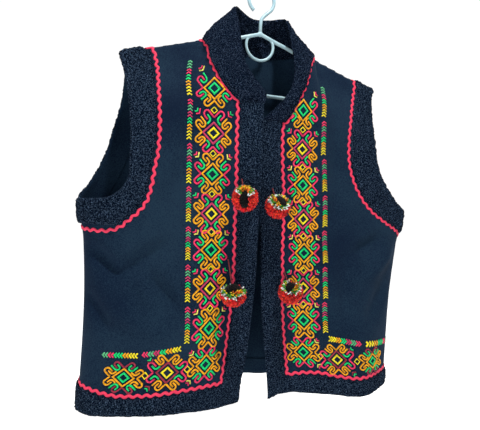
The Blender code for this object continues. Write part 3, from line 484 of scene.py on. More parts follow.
def across_at(side, face, x, z):
    """Across the pattern, where the cloth is x from the centre line."""
    points, spans, _ = forms[side, face]
    place = (z - heights[0]) / LEVEL_STEP
    i = int(place)
    t = place - i
    row_x = np.abs(points[i, :, 0] * (1 - t) + points[i + 1, :, 0] * t)
    row_a = spans[i] * (1 - t) + spans[i + 1] * t
    last = int(np.argmax(row_x)) + 1
    return float(np.interp(x, row_x[:last], row_a[:last]))


RIGHT_ARMHOLE = [(0.075, 0.222), (0.100, 0.218), (0.156, 0.212), (0.209, 0.211),
                 (0.238, 0.213), (0.257, 0.226), (0.267, 0.248)]
LEFT_ARMHOLE = [(0.060, 0.222), (0.083, 0.220), (0.105, 0.217), (0.146, 0.216), (0.175, 0.218),
                (0.201, 0.226), (0.228, 0.244), (0.252, 0.268)]
BACK_ARMHOLE = [(0.065, 0.221), (0.095, 0.222), (0.120, 0.225), (0.150, 0.232), (0.182, 0.240),
                (0.206, 0.249), (0.228, 0.259), (0.247, 0.269)]
OUTLINE_STEP = 0.004
SHOULDER_RUN = 0.30      # how far a band climbs along the shoulder seam, for its width


def armhole_line(side, face):
    """The armhole edge in the pattern, from the underarm up to the shoulder."""
    rows = BACK_ARMHOLE if face == BACK else RIGHT_ARMHOLE if side == RIGHT else LEFT_ARMHOLE
    points = [(across_at(side, face, x, NECK_Z - drop), NECK_Z - drop) for drop, x in reversed(rows)]
    underarm, shoulder = (seam_point(side, face, z) for z in (UNDERARM_Z, SHOULDER_Z))
    return rounded_path([underarm] + points + [shoulder], OUTLINE_STEP)


def beside(line, away):
    """A line beside another, on its left."""
    made = []
    for i, point in enumerate(line):
        a, b = line[max(i - 1, 0)], line[min(i + 1, len(line) - 1)]
        length = math.dist(a, b)
        made.append((point[0] - (b[1] - a[1]) / length * away, point[1] + (b[0] - a[0]) / length * away))
    return made


def between_seams(side, face, away, line):
    """A line round the armhole, run out to the side seam and the shoulder seam."""
    low, high = UNDERARM_Z - away, SHOULDER_Z + away * SHOULDER_RUN
    return [seam_point(side, face, low)] + line + [seam_point(side, face, high)]


def beside_armhole(side, face, away):
    """A line beside the armhole edge, from the side seam to the shoulder seam."""
    line = beside(armhole_line(side, face), away)
    return between_seams(side, face, away, short_of_seam(side, face, line))


def seam_line(side, face, low, high, step=OUTLINE_STEP):
    """The side or shoulder seam between two heights, going up."""
    count = max(1, round((high - low) / step))
    return [seam_point(side, face, z) for z in np.linspace(low, high, count + 1)]


def straight(a, b, step=OUTLINE_STEP):
    count = max(1, round(math.dist(a, b) / step))
    return [(a[0] + (b[0] - a[0]) * i / count, a[1] + (b[1] - a[1]) * i / count) for i in range(count + 1)]


SAME_POINT = 0.0004      # points nearer than this are taken as one


def joined(*lines):
    """One closed outline from lines that follow each other."""
    made = []
    for line in lines:
        for point in line:
            if not made or math.dist(point, made[-1]) > SAME_POINT:
                made.append((float(point[0]), float(point[1])))
    while math.dist(made[0], made[-1]) < SAME_POINT:
        made.pop()
    return made


FIRST_CUT = 0.63         # where the first cut across a flat piece lies, in cells


def cut_flat(outline, cell):
    """A flat piece with that outline, cut into a net of small cells."""
    flat_bm = bmesh.new()
    flat_bm.faces.new([flat_bm.verts.new((a, z, 0)) for a, z in outline])
    for axis in (0, 1):
        low, high = (pick(p[axis] for p in outline) for pick in (min, max))
        way = Vector((1, 0, 0)) if axis == 0 else Vector((0, 1, 0))
        for i in range(int((high - low) / cell)):
            everything = flat_bm.verts[:] + flat_bm.edges[:] + flat_bm.faces[:]
            bmesh.ops.bisect_plane(flat_bm, geom=everything, dist=0.0001,
                                   plane_co=way * (low + cell * (i + FIRST_CUT)), plane_no=way)
    for face in flat_bm.faces:
        if face.normal.z < 0:
            face.normal_flip()
    return flat_bm


def carry(flat_bm, side, face, extra=None):
    """Carries a piece made in the pattern onto the hanging form.  Side 0 is the
    whole back, with the wearer's right at minus x; extra moves points further out."""
    verts = list(flat_bm.verts)
    flat = np.array([v.co for v in verts])
    spots = np.zeros_like(flat)
    for part in (RIGHT, LEFT) if side == 0 else (side,):
        mine = (np.sign(flat[:, 0] + 1e-9) == part) if side == 0 else np.ones(len(flat), bool)
        if mine.any():
            across = np.abs(flat[mine, 0]) if side == 0 else flat[mine, 0]
            placed, outs = hang(part, face, across, flat[mine, 1])
            out = flat[mine, 2].copy()
            if extra is not None:
                out = out + extra(placed, out)
            spots[mine] = placed + outs * out[:, None]
    for vert, spot in zip(verts, spots):
        vert.co = spot
    if side == 0 or side * face == 1:
        bmesh.ops.reverse_faces(flat_bm, faces=flat_bm.faces)


def finished(name, piece_bm, finishes, node_slot, *cad_nodes):
    """Makes the piece an object that rides on the vest and stands for its solids."""
    mesh = bpy.data.meshes.new(name)
    piece_bm.normal_update()
    piece_bm.to_mesh(mesh)
    piece_bm.free()
    for finish in finishes:
        mesh.materials.append(finish)
    mesh.shade_smooth()
    made = bpy.data.objects.new(name, mesh)
    scene.collection.objects.link(made)
    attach(made, "root")
    if cad_nodes:
        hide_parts(*cad_nodes)
    return made


# milled navy wool: a felted face, faint mottling and a soft bloom
wool, tree, shader = material_named("wool_cloth", (0.008, 0.018, 0.036), 0.85, 0.04)
shader.inputs["Sheen Weight"].default_value = 0.03
shader.inputs["Sheen Roughness"].default_value = 0.5
shader.inputs["Sheen Tint"].default_value = (0.35, 0.6, 1.0, 1)
place = output_of(tree, "TexCoord", "Object", {})
cloud = output_of(tree, "TexNoise", "Fac", {"Vector": place, "Scale": 9, "Detail": 6})
nap = output_of(tree, "TexNoise", "Fac", {"Vector": place, "Scale": 620, "Detail": 3})
blend = output_of(tree, "Mix", "Result", {"Factor": 0.60, "A": cloud, "B": nap}, data_type="FLOAT")
tinted(tree, shader, blend, 0.41, (0.0026, 0.0078, 0.0210), 0.60, (0.0094, 0.0235, 0.0420))
raised(tree, shader, nap, 0.35, 0.0005)

TUCK = 0.003             # how far the cloth stops short of an edge that pile covers
# the shoulder seams run on a little way past the neck point to the neck seam
NECK_TOP = {RIGHT: NECK_Z + 0.0010, LEFT: NECK_Z + 0.0059}


def cloth_panel(name, panel_bm, cad_node):
    """A sheet of the wool, as thick as it is woven."""
    made = finished(name, panel_bm, [wool], "cloth", cad_node)
    wall = made.modifiers.new("cloth", "SOLIDIFY")
    wall.thickness = CLOTH
    wall.offset = -1
    wall.use_even_offset = True


def below_neck(side, face, edge):
    """The hem, side seam, armhole and shoulder seam of a panel's half, from its edge."""
    low = HEM_Z + TUCK
    shoulder = seam_line(side, face, SHOULDER_Z + TUCK * SHOULDER_RUN, NECK_TOP[side], 0.002)
    return [straight((edge, low), seam_point(side, face, low)),
            seam_line(side, face, low, UNDERARM_Z - TUCK), beside_armhole(side, face, TUCK), shoulder]


def back_neck_line(side):
    """The neck seam of one half of the back, from the shoulder to the centre."""
    points, top = [], NECK_TOP[side]
    half = NECK_HALF - (top - NECK_Z) / SHOULDER_SLOPE
    for i in range(25):
        x = half * (1 - i / 24)
        z = top + (NECK_Z + BACK_NECK_RISE - top) * (1 - (x / half) ** 2)
        points.append((min(seam_across(side, BACK, z), across_at(side, BACK, x, z)), z))
    return points


def flipped(line):
    """The same line on the other side of the centre, going the other way."""
    return [(-a, z) for a, z in reversed(line)]


half_outline = {side: joined(*below_neck(side, BACK, 0.0), back_neck_line(side)) for side in (LEFT, RIGHT)}
back_bm = cut_flat(joined(half_outline[LEFT] + flipped(half_outline[RIGHT])), 0.0065)
carry(back_bm, 0, BACK)
cloth_panel("back_cloth", back_bm, "back")


# ---- the fronts --------------------------------------------------------------------
# Two pieces of the same cloth, cut straight down the front edge.  The right
# front hangs a little proud of the left, and both swing apart towards the hem.

FRONT_TRIM, HEM_TRIM = 0.038, 0.028
ARM_TRIM = {RIGHT: 0.038, LEFT: 0.044}
NECK_BASE = {RIGHT: NECK_Z - 0.112, LEFT: NECK_Z - 0.132}
NECK_SEAM = {             # drop from the neck point, distance from the centre line
    RIGHT: [(0.104, 0.0600), (0.093, 0.0700), (0.0845, 0.0770), (0.0685, 0.0850), (0.054, 0.0895),
            (0.044, 0.0928), (0.033, 0.0948), (0.018, 0.0955)],
    LEFT: [(0.123, 0.0345), (0.108, 0.0430), (0.090, 0.0515), (0.0755, 0.0590), (0.0575, 0.0665),
           (0.040, 0.0725), (0.022, 0.0785)],
}
SIDE_NAME = {RIGHT: "right", LEFT: "left"}


def neck_line(side):
    """The neck seam of a front, from the trim's top up to the shoulder."""
    points = [(FRONT_TRIM, NECK_BASE[side])]
    points += [(across_at(side, FRONT, x, NECK_Z - drop), NECK_Z - drop) for drop, x in NECK_SEAM[side]]
    return rounded_path(points + [seam_point(side, FRONT, NECK_TOP[side])], OUTLINE_STEP)


for side in (RIGHT, LEFT):
    edge = straight((TUCK, NECK_BASE[side]), (TUCK, HEM_Z + TUCK))
    front_bm = cut_flat(joined(*below_neck(side, FRONT, TUCK), neck_line(side)[::-1], edge), 0.0055)
    carry(front_bm, side, FRONT)
    name = SIDE_NAME[side]
    cloth_panel(f"front_cloth_{name}", front_bm, f"front_{name}")


# ---- the pile trims ------------------------------------------------------------------
# Bands of black-navy cloth with a curled loop pile, 4 mm deep, turned over every
# edge.  Pale flecks are painted on the curls' crests as highlights, and the
# hollows between the curls are painted darker as shade.

PILE = 0.0042
BRAID_WIDE, BRAID_SWING = 0.0043, 0.0014
BRAID_OFF = 0.0008 + BRAID_SWING + BRAID_WIDE / 2   # the braid's middle, off the pile
# the line of the braid beside each band; the pile's seam runs beside it
EDGE_BRAID = {            # height over the hem, distance from the free edge
    RIGHT: [(0.030, 0.0445), (0.060, 0.0445), (0.100, 0.0425), (0.150, 0.0382), (0.200, 0.0374),
            (0.250, 0.0380), (0.300, 0.0390), (0.350, 0.0405), (0.400, 0.0425), (0.470, 0.0430)],
    LEFT: [(0.026, 0.0392), (0.108, 0.0392), (0.147, 0.0390), (0.214, 0.0385), (0.280, 0.0398),
           (0.338, 0.0405), (0.380, 0.0385), (0.417, 0.0370), (0.450, 0.0370)],
}
HEM_BRAID = {             # distance across, height over the hem
    RIGHT: [(0.0, 0.0325), (0.040, 0.0330), (0.065, 0.0345), (0.090, 0.0344), (0.124, 0.0330),
            (0.156, 0.0290), (0.200, 0.0246), (0.224, 0.0262), (0.251, 0.0300), (0.300, 0.0326)],
    LEFT: [(0.0, 0.0270), (0.040, 0.0290), (0.067, 0.0330), (0.096, 0.0335), (0.119, 0.0290),
           (0.154, 0.0255), (0.183, 0.0265), (0.230, 0.0285), (0.300, 0.0326)],
}
ARM_BRAID = {             # distance across, height over the hem, going up
    RIGHT: [(0.2257, 0.2632), (0.1929, 0.2824), (0.1736, 0.3048), (0.1660, 0.3300), (0.1622, 0.3589),
            (0.1587, 0.3777), (0.1576, 0.4148), (0.1598, 0.4532), (0.1662, 0.4979), (0.1762, 0.5260),
            (0.1850, 0.5470)],
    LEFT: [(0.2616, 0.2800), (0.2367, 0.2912), (0.2129, 0.3055), (0.1965, 0.3206), (0.1830, 0.3396),
           (0.1722, 0.3634), (0.1654, 0.3872), (0.1638, 0.4182), (0.1659, 0.4476), (0.1762, 0.4796),
           (0.1922, 0.5127), (0.2010, 0.5300)],
}
HEM_DIP = {               # distance across, how far the hem's rim dips
    RIGHT: [(0.0, 0.0070), (0.030, 0.0045), (0.080, 0.0005), (0.120, -0.0015), (0.160, 0.0010),
            (0.200, 0.005), (0.240, 0.0085), (0.275, 0.0090), (0.310, 0.0080)],
    LEFT: [(0.0, 0.0085), (0.010, 0.0055), (0.020, 0.0035), (0.050, 0.0010), (0.090, 0.0020), (0.140, 0.0050),
           (0.180, 0.0050), (0.220, 0.0030), (0.260, 0.0010), (0.310, 0.0)],
}
PILE_ROUND = 0.0042      # how far from its rims a band rounds over
SEWN_DOWN = 0.0002       # how high the pile stands where it is sewn to the cloth
BAND_CELL = 0.0025
BACK_DIP_RUN = 0.11      # how far in from the side seam the back's hem dips
FACING = -CLOTH - 0.0008  # the band's inner face, inside the vest


def edge_braid(side):
    """The middle line of the braid beside a front edge, going up from the hem."""
    rows = [(a, HEM_Z + h) for h, a in EDGE_BRAID[side]]
    return rounded_path(rows, OUTLINE_STEP)


def hem_braid(side):
    """The middle line of the braid above a front's hem, out to the side seam."""
    rows = [(a, HEM_Z + h) for a, h in HEM_BRAID[side]]
    end = seam_point(side, FRONT, HEM_Z + HEM_TRIM + BRAID_OFF)
    return [p for p in rounded_path(rows, OUTLINE_STEP) if p[0] < end[0] - SEAM_CLEAR] + [end]


def arm_braid(side):
    """The middle line of the braid round a front's armhole, side to shoulder."""
    rows = [(a, HEM_Z + h) for a, h in ARM_BRAID[side]]
    return rounded_path(between_seams(side, FRONT, ARM_TRIM[side] + BRAID_OFF, rows), OUTLINE_STEP)


def dipping_hem(side, face):
    """The hem's rim from the front edge, or the middle of the back, to the side seam."""
    last = seam_across(side, face, HEM_Z)
    line = []
    for a, _ in straight((0.0, 0.0), (last, 0.0)):
        if face == FRONT:
            dip = crossing(HEM_DIP[side], a)
        else:
            dip = HEM_DIP[side][-1][1] * float(smooth(1 - (last - a) / BACK_DIP_RUN))
        line.append((a, HEM_Z - dip))
    return line[:-1] + [seam_point(side, face, line[-1][1])]


def pile_cloth(name, highlight_colour, pale_from):
    """Curled pile: worm-like curls from two bent noises, with pale painted highlights on their crests and
    painted shade in the hollows between them.
    """
    made, tree, shader = material_named(name, (0.008, 0.014, 0.024), 0.9, 0.015)
    place = output_of(tree, "TexCoord", "Object", {})
    crests = []
    for scale, shift in ((560, 0.0), (780, 7.3)):
        moved = output_of(tree, "Mapping", "Vector", {"Vector": place, "Location": (shift, shift, shift)})
        curl = output_of(tree, "TexNoise", "Fac", {"Vector": moved, "Scale": scale, "Detail": 1.5,
                                                   "Distortion": 0.6})
        away = output_of(tree, "Math", "Value", {0: curl, 1: 0.5}, operation="SUBTRACT")
        size = output_of(tree, "Math", "Value", {0: away}, operation="ABSOLUTE")
        ranges = {"From Min": 0.0, "From Max": 0.070, "To Min": 1.0, "To Max": 0.0}
        crests.append(output_of(tree, "MapRange", "Result", {"Value": size, **ranges}))
    crest = output_of(tree, "Math", "Value", {0: crests[0], 1: crests[1]}, operation="MAXIMUM")
    fleck = output_of(tree, "TexNoise", "Fac", {"Vector": place, "Scale": 560, "Detail": 2})
    pale = output_of(tree, "MapRange", "Result", {"Value": fleck, "From Min": pale_from, "From Max": 0.66})
    # painted highlights: pale flecks only where the curls crest
    painted_highlight = output_of(tree, "Math", "Value", {0: pale, 1: crest}, operation="MULTIPLY")
    # painted shade: the hollows between the curls are darker than their crests
    dark = output_of(tree, "Mix", "Result", {"Factor": crest, "A": (0.0009, 0.0024, 0.0068, 1),
                                             "B": (0.0060, 0.0150, 0.0350, 1)}, data_type="RGBA")
    tip = output_of(tree, "Mix", "Result", {"Factor": painted_highlight, "A": dark, "B": (*highlight_colour, 1)},
                    data_type="RGBA")
    tree.links.new(tip, shader.inputs["Base Color"])
    raised(tree, shader, crest, 0.9, 0.0016)
    return made


pile = pile_cloth("curled_pile", (0.165, 0.265, 0.430), 0.49)


LUMPS, RIDGES = 130, 230               # how closely each lies, to the metre
LUMP_HIGH, RIDGE_HIGH = 0.0013, 0.0019
RIDGE_SHIFT = Vector((3.1, 1.7, 5.9))  # sets the ridges apart from the lumps


def curl_height(spots):
    """How far the curls lift the pile at each place."""
    lifts = []
    for spot in spots:
        here = Vector(spot)
        lump = noise.noise(here * LUMPS)
        ridge = 1 - 2 * abs(noise.noise(here * RIDGES + RIDGE_SHIFT))
        lifts.append(LUMP_HIGH * lump + RIDGE_HIGH * (ridge - 0.5))
    return np.array(lifts)


def rounded_over(gap, radius):
    """How full an edge is at a gap from its rim, from 0 to 1 along a quarter round."""
    return np.sqrt(np.maximum(0.0, 1 - (1 - np.clip(gap / radius, 0, 1)) ** 2))


def distance_to(flat, lines):
    """How far each pattern point lies from the nearest of some lines."""
    best = np.full(len(flat), 1.0)
    for line in lines:
        ends = np.array(line)
        a, b = ends[:-1], ends[1:]
        run = b - a
        to = flat[:, None, :2] - a[None]
        share = np.clip((to * run).sum(axis=2) / (run * run).sum(axis=1), 0, 1)
        gap = np.linalg.norm(to - share[:, :, None] * run, axis=2).min(axis=1)
        best = np.minimum(best, gap)
    return best


def pile_band(outline, free_rims, sewn_rims):
    """A band of pile in the pattern: rounded over its free rims and down at the
    rims that are sewn to the cloth, with a plain wool face inside the vest."""
    band_bm = cut_flat(outline, BAND_CELL)
    inner = bmesh.ops.duplicate(band_bm, geom=band_bm.faces[:])["geom"]
    inner_verts = {g for g in inner if isinstance(g, bmesh.types.BMVert)}
    inner_faces = [g for g in inner if isinstance(g, bmesh.types.BMFace)]
    bmesh.ops.reverse_faces(band_bm, faces=inner_faces)
    for face in inner_faces:
        face.material_index = 1
    rims = [e for e in band_bm.edges if e.is_boundary]
    verts = list(band_bm.verts)
    flat = np.array([v.co for v in verts])
    inside = np.array([v in inner_verts for v in verts])
    free, sewn = distance_to(flat, free_rims), distance_to(flat, sewn_rims)

    middle, fullness = -CLOTH / 2, rounded_over(free, PILE_ROUND)
    top = middle + (PILE - middle) * fullness
    top = np.minimum(top, SEWN_DOWN + (PILE - SEWN_DOWN) * rounded_over(sewn, PILE_ROUND))
    low = middle + (FACING - middle) * fullness
    for vert, t, b, is_inner in zip(verts, top, low, inside):
        vert.co.z = b if is_inner else t
    bmesh.ops.bridge_loops(band_bm, edges=rims)
    return band_bm


def curls_on(placed, out):
    depth = np.clip((out + CLOTH / 2) / PILE, -0.4, 1.0)
    return curl_height(placed) * np.where(out > -CLOTH / 2, np.maximum(depth, 0.35), 0.0)


def joined_on(whole_bm, part_bm):
    """Adds one finished bit of work to the rest."""
    kept = bpy.data.meshes.new("bit")
    part_bm.to_mesh(kept)
    part_bm.free()
    whole_bm.from_mesh(kept)
    bpy.data.meshes.remove(kept)


for side in (RIGHT, LEFT):
    name, base, seam_z = SIDE_NAME[side], NECK_BASE[side], HEM_Z + HEM_TRIM
    hem = dipping_hem(side, FRONT)
    edge = straight((0.0, base), hem[0])
    flank = seam_line(side, FRONT, hem[-1][1], seam_z)
    above_hem = beside(hem_braid(side), -BRAID_OFF)
    beside_edge = beside(edge_braid(side), BRAID_OFF)
    inner = crossing(beside_edge, HEM_Z + 0.030, axis=1)
    corner = (inner, crossing(above_hem, inner))
    end = seam_point(side, FRONT, seam_z)
    hem_seam = [end] + [p for p in above_hem[::-1] if inner < p[0] < end[0] - SEAM_CLEAR] + [corner]
    edge_seam = [corner] + [p for p in beside_edge if corner[1] + CORNER_CLEAR < p[1] < base - CORNER_CLEAR]
    edge_seam.append((crossing(beside_edge, base, axis=1), base))
    top = straight(edge_seam[-1], (0.0, base))
    band_bm = pile_band(joined(edge, hem, flank, hem_seam, edge_seam, top),
                        [edge, hem], [hem_seam, edge_seam])
    carry(band_bm, side, FRONT, curls_on)
    finished(f"edge_pile_{name}", band_bm, [pile, wool], "pile", f"front_trim_{name}")

# the back's hem band
halves = {}
for side in (RIGHT, LEFT):
    seam_z = HEM_Z + HEM_TRIM
    hem = dipping_hem(side, BACK)
    halves[side] = (hem, seam_line(side, BACK, hem[-1][1], seam_z),
                    straight(seam_point(side, BACK, seam_z), (0.0, seam_z)))
low_rim = flipped(halves[RIGHT][0]) + halves[LEFT][0][1:]
high_rim = halves[LEFT][2] + flipped(halves[RIGHT][2])[1:]
hem_outline = joined(low_rim, halves[LEFT][1], high_rim, flipped(halves[RIGHT][1]))
band_bm = pile_band(hem_outline, [low_rim], [high_rim])
carry(band_bm, 0, BACK, curls_on)
finished("hem_pile_back", band_bm, [pile, wool], "pile", "hem_trim_back")

# the band round each armhole, in one piece from its front and back halves
for side in (RIGHT, LEFT):
    name, wide = SIDE_NAME[side], ARM_TRIM[side]
    ring_bm = bmesh.new()
    for face in (FRONT, BACK):
        rim = armhole_line(side, face)
        if face == BACK:
            seam = beside_armhole(side, face, wide)
        else:
            low, high = UNDERARM_Z - wide, SHOULDER_Z + wide * SHOULDER_RUN
            line = short_of_seam(side, face, beside(arm_braid(side), -BRAID_OFF))
            seam = between_seams(side, face, wide, [p for p in line if low < p[1] < high])
        shoulder = seam_line(side, face, SHOULDER_Z, seam[-1][1], 0.0015)
        flank = seam_line(side, face, seam[0][1], UNDERARM_Z, 0.0025)
        outline = joined(rim, shoulder, seam[::-1], flank)
        band_bm = pile_band(outline[::-1], [rim], [seam])
        carry(band_bm, side, face, curls_on)
        joined_on(ring_bm, band_bm)
    finished(f"armhole_pile_{name}", ring_bm, [pile, wool], "pile",
             f"armhole_trim_front_{name}", f"armhole_trim_back_{name}")


# ---- the collar ------------------------------------------------------------------------
# A standing band of pile cloth, curled on both faces and sewn along the neck
# seam.  It stands open, with a soft peak at each side of the neck.

COLLAR = {
    # the free edge as (out from the centre, fore, height over the neck point), the
    # seam point as (share of its length, which seam), the belly, and the overlap
    RIGHT: [(0.0100, 0.067, -0.0940, 0.12, FRONT, 0.010, 0.0030),
            (0.0270, 0.060, -0.0700, 0.30, FRONT, 0.011, 0.0025),
            (0.0390, 0.050, -0.0460, 0.46, FRONT, 0.009, 0.0015),
            (0.0425, 0.040, -0.0220, 0.62, FRONT, 0.007, 0.0010),
            (0.0430, 0.029, 0.0040, 0.78, FRONT, 0.008, 0.0005),
            (0.0440, 0.018, 0.0330, 0.90, FRONT, 0.009, 0.0005),
            (0.0465, 0.004, 0.0595, 1.00, FRONT, 0.009, 0.0010),
            (0.0390, -0.014, 0.0735, 0.25, BACK, 0.009, 0.0010),
            (0.0250, -0.033, 0.0775, 0.60, BACK, 0.006, 0.0010)],
    LEFT: [(0.004, 0.049, -0.118, 0.12, FRONT, 0.008, 0.0020),
           (0.022, 0.050, -0.099, 0.30, FRONT, 0.008, 0.0020),
           (0.038, 0.048, -0.078, 0.46, FRONT, 0.008, 0.0020),
           (0.048, 0.041, -0.050, 0.62, FRONT, 0.006, 0.0015),
           (0.050, 0.032, -0.016, 0.78, FRONT, 0.003, 0.0005),
           (0.048, 0.020, 0.020, 0.90, FRONT, 0.003, 0.0005),
           (0.047, 0.004, 0.056, 1.00, FRONT, 0.007, 0.0010),
           (0.043, -0.015, 0.067, 0.25, BACK, 0.008, 0.0010),
           (0.028, -0.033, 0.070, 0.60, BACK, 0.006, 0.0010)],
}
COLLAR_BACK = (-0.040, 0.070, 0.006, 0.0010)
TRIM_TOP = (0.004, 0.0010)     # the belly and overlap at the collar's front ends
COLLAR_OUTER, COLLAR_INNER = 0.0024, -0.0034
COLLAR_ROUND = 0.0045
ALONG, UP = 230, 34      # cells along the collar and from its seam to its free edge


def lengths_along(line):
    """A flat line's points, with how far along it each lies."""
    ends = np.array(line, float)
    return ends, np.concatenate([[0], np.cumsum(np.linalg.norm(np.diff(ends, axis=0), axis=1))])


def at_share(line, share):
    """The point at a share of the length of a flat line."""
    ends, lengths = lengths_along(line)
    return [float(np.interp(lengths[-1] * share, lengths, ends[:, i])) for i in (0, 1)]


def collar_stations(side):
    """The seam point, its way out, the free edge and the roll at each station of one half."""
    seam_front, seam_back = neck_line(side), back_neck_line(side)
    base = NECK_BASE[side] + 0.0003
    trim_top, out = hang(side, FRONT, FRONT_TRIM, base)
    edge_top, _ = hang(side, FRONT, 0.0, base)
    made = [(trim_top[0], out[0], edge_top[0], np.array((*TRIM_TOP, 0.0)))]
    for x, fore, height, share, face, belly, overlap in COLLAR[side]:
        line = seam_front if face == FRONT else seam_back
        seam, out = hang(side, face, *at_share(line, share))
        made.append((seam[0], out[0], np.array((side * x, -fore, NECK_Z + height)),
                     np.array((belly, overlap, 0.0))))
    return made


seam, out = hang(LEFT, BACK, 0.0, NECK_Z + BACK_NECK_RISE)
middle = (seam[0], out[0], np.array((0.0, -COLLAR_BACK[0], NECK_Z + COLLAR_BACK[1])),
          np.array((*COLLAR_BACK[2:], 0.0)))
stations = np.array(collar_stations(RIGHT) + [middle] + collar_stations(LEFT)[::-1])
where = np.linspace(0, len(stations) - 1, ALONG + 1)
first = np.clip(where.astype(int), 0, len(stations) - 2)
t = (where - first)[:, None, None]
p0, p1 = stations[np.maximum(first - 1, 0)], stations[first]
p2, p3 = stations[first + 1], stations[np.minimum(first + 2, len(stations) - 1)]
loft = curve_between(p0, p1, p2, p3, t)
seams, ways, edges, roll = (loft[:, i] for i in range(4))
ways /= np.linalg.norm(ways, axis=1, keepdims=True)
reach = edges - seams
lengths = np.linalg.norm(reach, axis=1)
starts = seams - reach / lengths[:, None] * roll[:, 1:2]
rise = np.linspace(0, 1, UP + 1)[None, :, None]
bow = roll[:, 0][:, None, None] * 4 * rise * (1 - rise) ** 2
net = starts[:, None] + (edges - starts)[:, None] * rise + ways[:, None] * bow
faces_out = np.cross(np.gradient(net, axis=0), np.gradient(net, axis=1))
faces_out /= np.linalg.norm(faces_out, axis=2, keepdims=True)
if faces_out[ALONG // 2, 3, 1] < 0:
    faces_out = -faces_out
gap_top = (1 - rise[0, :, 0])[None] * lengths[:, None]
rounding = rounded_over(gap_top, COLLAR_ROUND)
middle_out = (COLLAR_OUTER + COLLAR_INNER) / 2

collar_bm = bmesh.new()
for layer in (COLLAR_OUTER, COLLAR_INNER):
    made = bmesh.ops.create_grid(collar_bm, x_segments=ALONG, y_segments=UP, size=0.5)["verts"]
    for vert in made:
        i, j = round((vert.co.x + 0.5) * ALONG), round((vert.co.y + 0.5) * UP)
        out = middle_out + (layer - middle_out) * rounding[i, j]
        spot = net[i, j] + faces_out[i, j] * out
        lift = curl_height([spot])[0] * (1 if layer > 0 else -1) * 1.1
        vert.co = spot + faces_out[i, j] * lift
bmesh.ops.bridge_loops(collar_bm, edges=[e for e in collar_bm.edges if e.is_boundary])
bmesh.ops.recalc_face_normals(collar_bm, faces=collar_bm.faces)
# a darker copy of the curled pile, with dimmer and fewer pale crests: painted shade over the collar
shaded_collar_pile = pile_cloth("shaded_curled_collar_pile", (0.135, 0.200, 0.345), 0.515)
finished("collar_pile", collar_bm, [shaded_collar_pile], "pile", "collar")


# ---- the rickrack ------------------------------------------------------------------------
# Woven coral braid, 4.3 mm wide and waved, sewn down its middle beside every
# pile trim and round the neck seam.

BRAID_WAVE, BRAID_THICK = 0.0130, 0.0013
BRAID_ROUND = [(-1.0, -0.2), (-0.9, 0.6), (-0.45, 1.0), (0.45, 1.0), (0.9, 0.6), (1.0, -0.2)]


def resampled(line, step):
    """Points evenly spaced along a flat line, with its whole length."""
    ends, lengths = lengths_along(line)
    count = max(2, round(lengths[-1] / step) + 1)
    where = np.linspace(0, lengths[-1], count)
    return np.stack([np.interp(where, lengths, ends[:, i]) for i in (0, 1)], axis=1), where


def strip_along(strip_bm, line, wide, high, dome, paint=0, closed=False, base=0.0):
    """Adds a closed domed strip along a line in the pattern, mitred at its bends."""
    points = np.array(line, float)
    count = len(points)
    if closed:
        runs = np.roll(points, -1, axis=0) - points
        before = np.roll(runs, 1, axis=0)
    else:
        runs = np.diff(points, axis=0)
        before = np.concatenate([runs[:1], runs])
        runs = np.concatenate([runs, runs[-1:]])
    unit_a = before / np.linalg.norm(before, axis=1, keepdims=True)
    unit_b = runs / np.linalg.norm(runs, axis=1, keepdims=True)
    both = unit_a + unit_b
    both /= np.linalg.norm(both, axis=1, keepdims=True)
    stretch = 1 / np.maximum(0.6, (both * unit_a).sum(axis=1))
    cross = np.stack([-both[:, 1], both[:, 0]], axis=1) * stretch[:, None]
    span = np.concatenate([[0], np.cumsum(np.linalg.norm(runs, axis=1))])
    segments, sides = count if closed else count - 1, len(dome)
    one_bm = bmesh.new()
    uv = one_bm.loops.layers.uv.verify()
    bmesh.ops.create_grid(one_bm, x_segments=segments, y_segments=sides, size=0.5)
    spots = {vert: (round((vert.co.x + 0.5) * segments), round((vert.co.y + 0.5) * sides))
             for vert in one_bm.verts}
    for face in one_bm.faces:
        for loop in face.loops:
            i, j = spots[loop.vert]
            loop[uv].uv = (span[i], j / sides)
    for vert, (i, j) in spots.items():
        off, rise = dome[j % sides]
        i %= count
        vert.co = (*(points[i] + cross[i] * off * wide / 2), base + rise * high)
    bmesh.ops.reverse_faces(one_bm, faces=one_bm.faces)
    bmesh.ops.remove_doubles(one_bm, verts=one_bm.verts, dist=0.00001)
    if not closed:
        bmesh.ops.holes_fill(one_bm, edges=[e for e in one_bm.edges if e.is_boundary], sides=0)
    for face in one_bm.faces:
        face.material_index = paint
    joined_on(strip_bm, one_bm)


# shiny woven braid: a fine slanted rib
coral, tree, shader = material_named("coral_braid", (0.80, 0.055, 0.11), 0.6, 0.15)
place = output_of(tree, "UVMap", "UV", {})
turned = output_of(tree, "Mapping", "Vector", {"Vector": place, "Scale": (1.0, 0.0012, 1.0)})
rib = output_of(tree, "TexWave", "Fac", {"Vector": turned, "Scale": 300, "Distortion": 0.6},
                bands_direction="X")
tinted(tree, shader, rib, 0.0, (0.52, 0.020, 0.058), 1.0, (0.84, 0.058, 0.125))
raised(tree, shader, rib, 0.5, 0.0003)


def rickrack(name, cad_node, runs):
    """One length of rickrack, in one or more runs: (side, face, middle line)."""
    whole_bm = bmesh.new()
    whole_bm.loops.layers.uv.verify()
    for side, face, middle in runs:
        points, where = resampled(middle, BRAID_WAVE / 12)
        waves = max(1, round(where[-1] / BRAID_WAVE))
        runs_on = np.gradient(points, axis=0)
        runs_on /= np.linalg.norm(runs_on, axis=1, keepdims=True)
        swing = BRAID_SWING * np.sin(2 * math.pi * waves * where / where[-1])
        line = points + np.stack([-runs_on[:, 1], runs_on[:, 0]], axis=1) * swing[:, None]
        run_bm = bmesh.new()
        strip_along(run_bm, line, BRAID_WIDE, BRAID_THICK, BRAID_ROUND)
        carry(run_bm, side, face)
        joined_on(whole_bm, run_bm)
    bmesh.ops.recalc_face_normals(whole_bm, faces=whole_bm.faces)
    finished(name, whole_bm, [coral], "braid", cad_node)


NECK_RUN = 0.32          # how far a line beside the neck seam slips down the shoulder


